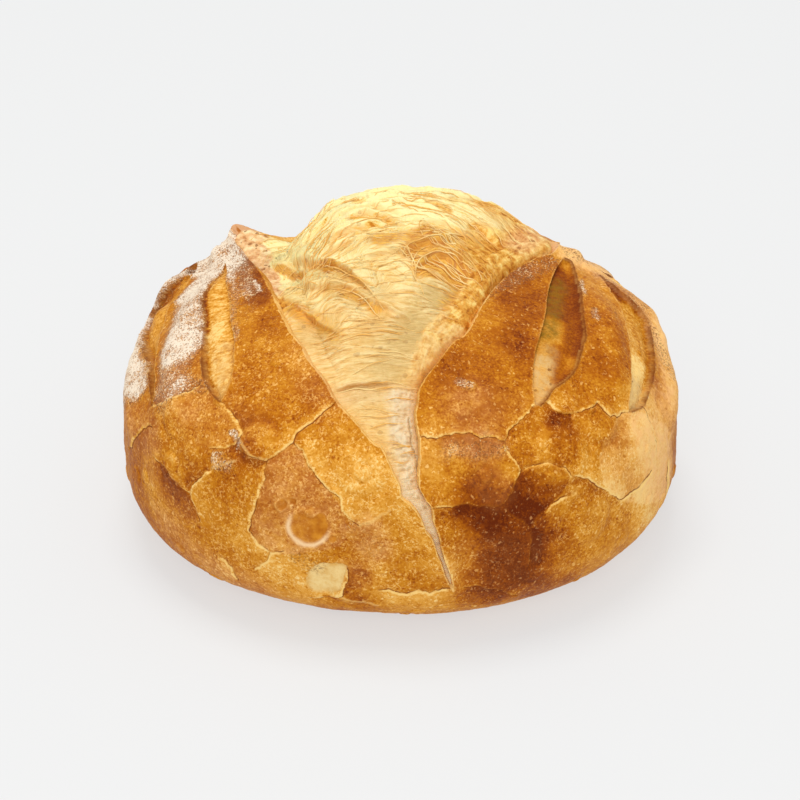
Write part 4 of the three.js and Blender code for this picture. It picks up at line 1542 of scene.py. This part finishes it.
# %% Layers of the crust's look
def skin_marks(n, vector):
    """Small pale dots, dark dots and fine creases of the browned skin."""
    dotted = n.mask("specks")
    pale = n.use(specks, "Mask", Vector=vector, Scale=430.0, Size=0.24, Share=dotted)
    small = n.use(specks, "Mask", Vector=vector, Scale=760.0, Size=0.3, Share=dotted * 1.3)
    dark = n.use(specks, "Mask", Vector=vector, Scale=420.0, Size=0.26, Share=0.35)
    crease = n.span(n.math("ABSOLUTE", n.noise(vector, 300.0) - 0.5), 0.022, 0.006)
    crease = crease * n.span(n.noise(vector, 240.0), 0.42, 0.58) * n.span(dotted, 0.2, 0.7)
    return pale, dark, n.larger(n.larger(pale, small * 0.7), crease)


def with_cracks(n, vector, colour, value, bake):
    """Cracks: dark in the gap, and pale on the lip that stands higher."""
    crack = n.mask("crack")
    break_up = (n.noise(vector, 350.0) - 0.5) * 2.2
    raised = n.span(n.mask("tint"), 0.0, 0.35, 0.12, 0.95) * n.span(bake, 0.1, 0.7, 1.0, 0.25)
    lighter = n.ramp(value + 0.3, CRUST_RAMP)
    colour = n.mix(n.span(crack + break_up, 1.5, 0.5) * raised, colour, lighter)
    pale_line = n.span(n.mask("pale_crack") + break_up * 0.6, 1.0, 0.2)
    colour = n.mix(pale_line * 0.45, colour, CRACK_PALE)
    gap = n.span(n.noise(vector, 110.0), 0.38, 0.6, 0.1, 0.9)
    return n.mix(n.span(crack, 0.38, 0.1) * gap, colour, CRACK_DARK)


def with_plates(n, vector, colour):
    """The bare plate, where a flake came off, and the burst blisters."""
    crumbs = n.mix(n.span(n.noise(vector, 160.0, 4.0, 0.7), 0.3, 0.7), BARE_DARK, BARE_PALE)
    colour = n.mix(n.mask("bare"), colour, crumbs)
    golden = n.mix(n.span(n.noise(vector, 220.0, 3.0), 0.3, 0.7), DISC_DARK, DISC_PALE)
    colour = n.mix(n.mask("disc") * 0.9, colour, golden)
    return n.mix(n.mask("crescent"), colour, CRESCENT)


def floor_colour(n, vector, cloud, grain):
    """The scores' floors: fibrous and golden, with olive, creamy and holey stretches, and painted shade
    under their deep lips.
    """
    level = n.wire("ShaderNodeMapping", {"Vector": vector, "Scale": (0.3, 1.0, 1.0)})
    fibres = (n.noise(level, 700.0, 4.0, 0.65) - 0.5) * (n.mask("fibrous") * 1.4)
    value = n.span(n.mask("to_lip"), 0.0, 3.2) * 0.14 + 0.5
    # Score patches darken the floor; under the deep lips this darkening is painted shade.
    value = value + (fibres + (cloud * 0.4 + grain * 0.5)) - n.mask("score_bake") * 0.4
    colour = n.ramp(value, CRUST_RAMP)
    blotches = n.span(n.noise(vector, 260.0, 4.0, 0.7), 0.36, 0.62) * 0.6
    olive, cream = n.mask("olive"), n.mask("cream")
    colour = n.mix(olive * (blotches + 0.35), colour, OLIVE_FLOOR)
    colour = n.mix(cream * (blotches + 0.3), colour, CREAM_FLOOR)
    holes = n.use(specks, "Mask", Vector=vector, Scale=330.0, Size=0.26, Share=0.3)
    return n.mix(holes * n.larger(cream, olive) * 0.7, colour, FLOOR_HOLE)


def with_rims(n, vector, colour, value, bake, floor):
    """The rims of the burst and the scores, and the shade under each deep lip."""
    lip_shade = n.mask("lip_shade")
    under_lip = lip_shade * n.span(n.noise(vector, 160.0), 0.3, 0.55, 0.5, 1.0)
    colour = n.mix(under_lip * 0.85, colour, UNDER_LIP)
    wander = (n.noise(vector, 300.0) - 0.5) * 1.6
    burst_rim = n.span(n.mask("burst_edge") + wander, 0.55, 0.05)
    score_rim = n.span(n.mask("score_edge") + wander, 0.7, 0.1)
    rim = n.larger(burst_rim * 0.75, score_rim * 0.3) * (1.0 - n.larger(floor, lip_shade))
    rim_colour = n.mix(n.mask("blush"), n.ramp(value + 0.42, CRUST_RAMP), RIM_BLUSH)
    return n.mix(rim, colour, n.mix(n.span(bake, 0.5, 0.9), rim_colour, RIM_BAKED))


def with_flour(n, vector, colour, floor):
    """Flour: a pale film, brown grains that show through, and white grains on top."""
    amount = n.mask("flour") * n.span(floor, 0.0, 1.0, 1.0, 0.25)
    dust = n.add("ShaderNodeGroup", {"Vector": vector, "Amount": amount}, node_tree=flour_dust)
    grains = Wire(n, dust.outputs["Mask"])
    colour = n.mix(n.span(amount, 0.2, 1.0) * 0.7, colour, FILM)
    brown = n.span(n.noise(vector, 1000.0, 2.0, 0.7), 0.52, 0.38) * n.span(amount, 0.05, 0.4)
    colour = n.mix(brown * 0.9, colour, SCORCHED)
    white = n.mix(n.span(amount, 0.2, 0.8), FLOUR_THIN, FLOUR_THICK)
    return n.mix(grains * 0.9, colour, white), grains, Wire(n, dust.outputs["Height"])


# %% Crust material
def crust_look(n, vector):
    cloud = n.use(mottle, "Value", Vector=vector, Coarse=30.0, Middle=150.0, Fine=560.0)
    # The bake and blush masks also carry painted rim light along the far edges.
    bake = n.mask("bake")
    grain = n.noise(vector, 1100.0, 2.0, 0.6) - 0.5
    pale_dots, dark_dots, marks = skin_marks(n, vector)
    value = BASE_BAKE - bake * 0.42 + cloud * 0.7 + n.mask("tint") * 0.2 + n.mask("relief") * 0.05
    value = value + grain * n.span(n.noise(vector, 90.0), 0.35, 0.65, 0.3, 0.7)
    value = value - dark_dots * 0.15 + marks * 0.22
    colour = n.mix(marks * 0.22, n.ramp(value, CRUST_RAMP), PALE_MARK)
    blush = n.mask("blush") * n.span(n.noise(vector, 260.0, 3.0), 0.35, 0.65, 0.5, 1.0)
    colour = n.mix(blush * 0.8, colour, n.mix(n.span(value, 0.3, 0.9), BLUSH_AND_RIM_LIGHT_DARK, BLUSH_AND_RIM_LIGHT_PALE))
    colour = with_cracks(n, vector, colour, value, bake)
    colour = with_plates(n, vector, colour)
    floor = n.mask("floor")
    colour = n.mix(floor, colour, floor_colour(n, vector, cloud, grain))
    colour = with_rims(n, vector, colour, value, bake, floor)
    colour, flour, flour_height = with_flour(n, vector, colour, floor)
    roughness = n.span(flour + cloud * 0.6, 0.0, 1.0, 0.48, 0.85)
    height = n.noise(vector, 900.0, 3.0, 0.6) * 0.3 + n.noise(vector, 300.0) * 0.45
    height = height + pale_dots * 0.12 - dark_dots * 0.1 + flour_height * 0.3
    return colour, roughness, height


crust_material = bread("browned_crust", crust_look, 0.55, {"Specular IOR Level": 0.06})

# %% [markdown]
# ## Torn crumb
# Stretched crumb is pale cream and a little see-through. The folds' hollows go amber, the valley grey, and
# the torn rim toasts like the crust.
# The amber under the folds' lips and the valley's grey are painted shade.

# %% The crumb's colours
# Each ramp runs from the deep places to the crests, so that the relief is painted in as shade and
# highlight. The crown of the mound is brighter than its foot.
FOOT_RAMP = [(0.0, (156, 102, 38)), (0.25, (204, 152, 78)), (0.5, (230, 185, 110)), (0.9, (250, 222, 158))]
CROWN_RAMP = [
    (0.0, (176, 104, 20)), (0.2, (220, 162, 62)), (0.45, (244, 208, 118)), (0.85, (254, 240, 174)),
]
TOAST_RAMP = [(0.0, (140, 72, 12)), (0.3, (202, 126, 30)), (0.6, (229, 167, 66)), (0.95, (252, 218, 130))]
HONEY_RAMP = [(0.0, (190, 118, 40)), (0.4, (230, 178, 98)), (0.8, (250, 216, 146))]
ROSY_RAMP = [
    (0.05, (170, 100, 48)), (0.25, (216, 156, 108)), (0.6, (240, 196, 152)), (0.9, (252, 226, 186)),
]
# The valley's grey is painted shade; the chalky colour is the tail's own.
VALLEY_SHADE_GREY, CHALKY = light(184, 160, 104), light(230, 209, 174)
AMBER_DARK, AMBER_LIGHT = light(192, 106, 12), light(246, 192, 78)
# The hollows' amber and grey are painted shade.
HOLLOW_SHADE_AMBER, HOLLOW_SHADE_GREY = light(228, 154, 48), light(166, 136, 94)
TOASTED_FLECK = light(150, 92, 40)


# %% Layers of the crumb's look
def pulled_colour(n, value, crown, threads, finer):
    """Crumb that was pulled but held: the mound's crown, the valley's painted grey shade, the chalky tail
    and the hollows' painted shade.
    """
    colour = n.mix(crown, n.ramp(value, FOOT_RAMP), n.ramp(value, CROWN_RAMP))
    # Painted grey shade in the valley.
    valley = n.mask("valley") * n.span(value, 0.3, 0.9, 1.0, 0.5)
    colour = n.mix(valley * 0.55, colour, VALLEY_SHADE_GREY)
    chalk = n.mask("chalk")
    colour = n.mix(chalk * n.span(value, 0.2, 0.7, 0.45, 0.95) * 0.9, colour, CHALKY)
    # Amber crumb, partly painted shade along the folds' lips.
    amber = n.mask("amber")
    patchy = n.math("ADD", amber, (threads - 0.5) * 2.4, clamp=True)
    rich = n.mix(n.span(threads, 0.36, 0.66), AMBER_DARK, AMBER_LIGHT)
    colour = n.mix(n.span(patchy, 0.1, 0.9) * n.span(amber, 0.0, 0.2) * 0.9, colour, rich)
    # Painted shade under the folds' lips, along the groove and between the layers.
    shade = n.mask("shade") * n.span(finer, 0.3, 0.7, 1.0, 0.6)
    return n.mix(shade * 0.75, colour, n.mix(chalk, HOLLOW_SHADE_AMBER, HOLLOW_SHADE_GREY))


def with_tears(n, vector, colour, cloud):
    """Crumb that tore: the honey-coloured roll and the toasted rags with their dark flecks."""
    value = (n.noise(vector, 240.0, 4.0, 0.65) - 0.5) * 2.5 + (cloud * 0.5 + 0.52)
    # The relief mask paints highlights on the crests and shade in the hollows.
    value = value + (n.mask("crest") - 0.5) * 0.6
    colour = n.mix(n.mask("roll") * 0.8, colour, n.ramp(value, HONEY_RAMP))
    rosy = n.mask("rosy")
    toasted = n.mix(rosy * 0.7, n.ramp(value, TOAST_RAMP), n.ramp(value, ROSY_RAMP))
    rags = n.math("ADD", n.mask("torn"), cloud * 0.8, clamp=True)
    colour = n.mix(n.span(rags, 0.1, 0.75) * 0.92, colour, toasted)
    flecks = n.use(specks, "Mask", Vector=vector, Scale=300.0, Size=0.27, Share=rosy * 0.3 + 0.2)
    return n.mix(flecks * n.span(rosy, 0.0, 1.0, 0.3, 0.8), colour, TOASTED_FLECK)


# %% Crumb material
def crumb_look(n, vector):
    way = n.wire("ShaderNodeUVMap", uv_map="fibre")
    along = n.wire("ShaderNodeMapping", {"Vector": way, "Scale": (12.0, 110.0, 1.0)})
    threads = n.noise(along, 1.0, 4.0, 0.65)
    finer = n.noise(along, 3.2, 3.0, 0.6)
    cloud = n.use(mottle, "Value", Vector=vector, Coarse=40.0, Middle=150.0, Fine=500.0)
    # The relief mask paints highlights on the crests and shade in the hollows.
    value = (threads - 0.5) * 1.3 + (finer - 0.5) * 0.9 + cloud * 0.45 + (n.mask("crest") - 0.5) * 1.2
    crown = n.mask("crown")
    bands = n.noise(along, 0.36, 3.0, 0.6) - 0.5
    value = value + bands * n.span(crown, 0.0, 1.0, 0.2, 0.9)
    value = value * n.span(crown, 0.0, 1.0, 0.7, 1.7) + n.span(crown, 0.0, 1.0, 0.5, 0.52)
    colour = with_tears(n, vector, pulled_colour(n, value, crown, threads, finer), cloud)
    roughness = n.span(value, 0.0, 1.0, 0.7, 0.55)
    height = threads * 0.6 + finer * 0.35 + n.noise(vector, 500.0, 3.0, 0.6) * 0.35
    return colour, roughness, height


CRUMB_FINISH = {
    "Specular IOR Level": 0.15,
    "Subsurface Weight": 0.1,
    "Subsurface Radius": (1.0, 0.55, 0.25),
    "Subsurface Scale": 0.002,
}
crumb_material = bread("torn_crumb", crumb_look, 0.7, CRUMB_FINISH)


# %% Thread material
def thread_look(n, vector):
    pale = n.span(n.noise(vector, 70.0, 3.0), 0.35, 0.65)
    return n.mix(pale, light(250, 224, 156), light(236, 178, 84)), 0.55, n.noise(vector, 700.0)


thread_material = bread("crumb_thread", thread_look, 0.2, {"Specular IOR Level": 0.15})

# %% Lay the materials on
LOOKS = {"crust": crust_material, "crumb": crumb_material, "crumb_threads": thread_material}
for piece in pieces:
    look = LOOKS.get(piece.name, LOOKS[piece.name.split("_")[0]])
    piece.data.materials.clear()
    piece.data.materials.append(look)
    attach(piece, "root")
    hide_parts("loaf")
print(len(pieces), "pieces take the loaf's place")

# %% [markdown]
# ## Floor and light
# A pale board and one big soft light overhead, with a broad sky round it, show the relief without hard
# shadows.

# %% Stage
BOARD_SIZE = 12
BOARD_GLOW = 0.575
LOAF_MIDDLE = (0, 0, 0.05)
SKY_LIGHT = 0.7
WHITE = (1, 1, 1, 1)
bpy.ops.object.select_all(action="DESELECT")
bpy.ops.mesh.primitive_plane_add(size=BOARD_SIZE)
board = bpy.context.object
board.name = "board"
board_material = bpy.data.materials.new("board")
board_material.use_nodes = True
board_shader = board_material.node_tree.nodes["Principled BSDF"]
board_shader.inputs["Base Color"].default_value = light(140, 141, 141)
board_shader.inputs["Roughness"].default_value = 0.9
board_shader.inputs["Specular IOR Level"].default_value = 0.0
board_shader.inputs["Emission Color"].default_value = WHITE
board_shader.inputs["Emission Strength"].default_value = BOARD_GLOW
board.data.materials.append(board_material)


# %% Lamps and sky
def lamp(name, place, size, power):
    """A round soft light, turned to the loaf."""
    data = bpy.data.lights.new(name, "AREA")
    data.shape = "DISK"
    data.size = size
    data.energy = power
    ob = bpy.data.objects.new(name, data)
    bpy.context.scene.collection.objects.link(ob)
    ob.location = place
    ob.rotation_euler = (Vector(LOAF_MIDDLE) - Vector(place)).to_track_quat("-Z", "Y").to_euler()
    print(name, "lamp of", power, "W")


lamp("overhead", (-0.15, 0.3, 2.2), 1.0, 19)
lamp("front", (-0.1, -1.8, 1.3), 1.2, 13)
world = bpy.data.worlds.new("sky")
bpy.context.scene.world = world
world.use_nodes = True
world.node_tree.nodes["Background"].inputs["Color"].default_value = WHITE
world.node_tree.nodes["Background"].inputs["Strength"].default_value = SKY_LIGHT
bpy.context.scene.view_settings.view_transform = "Standard"
bpy.context.scene.view_settings.look = "None"
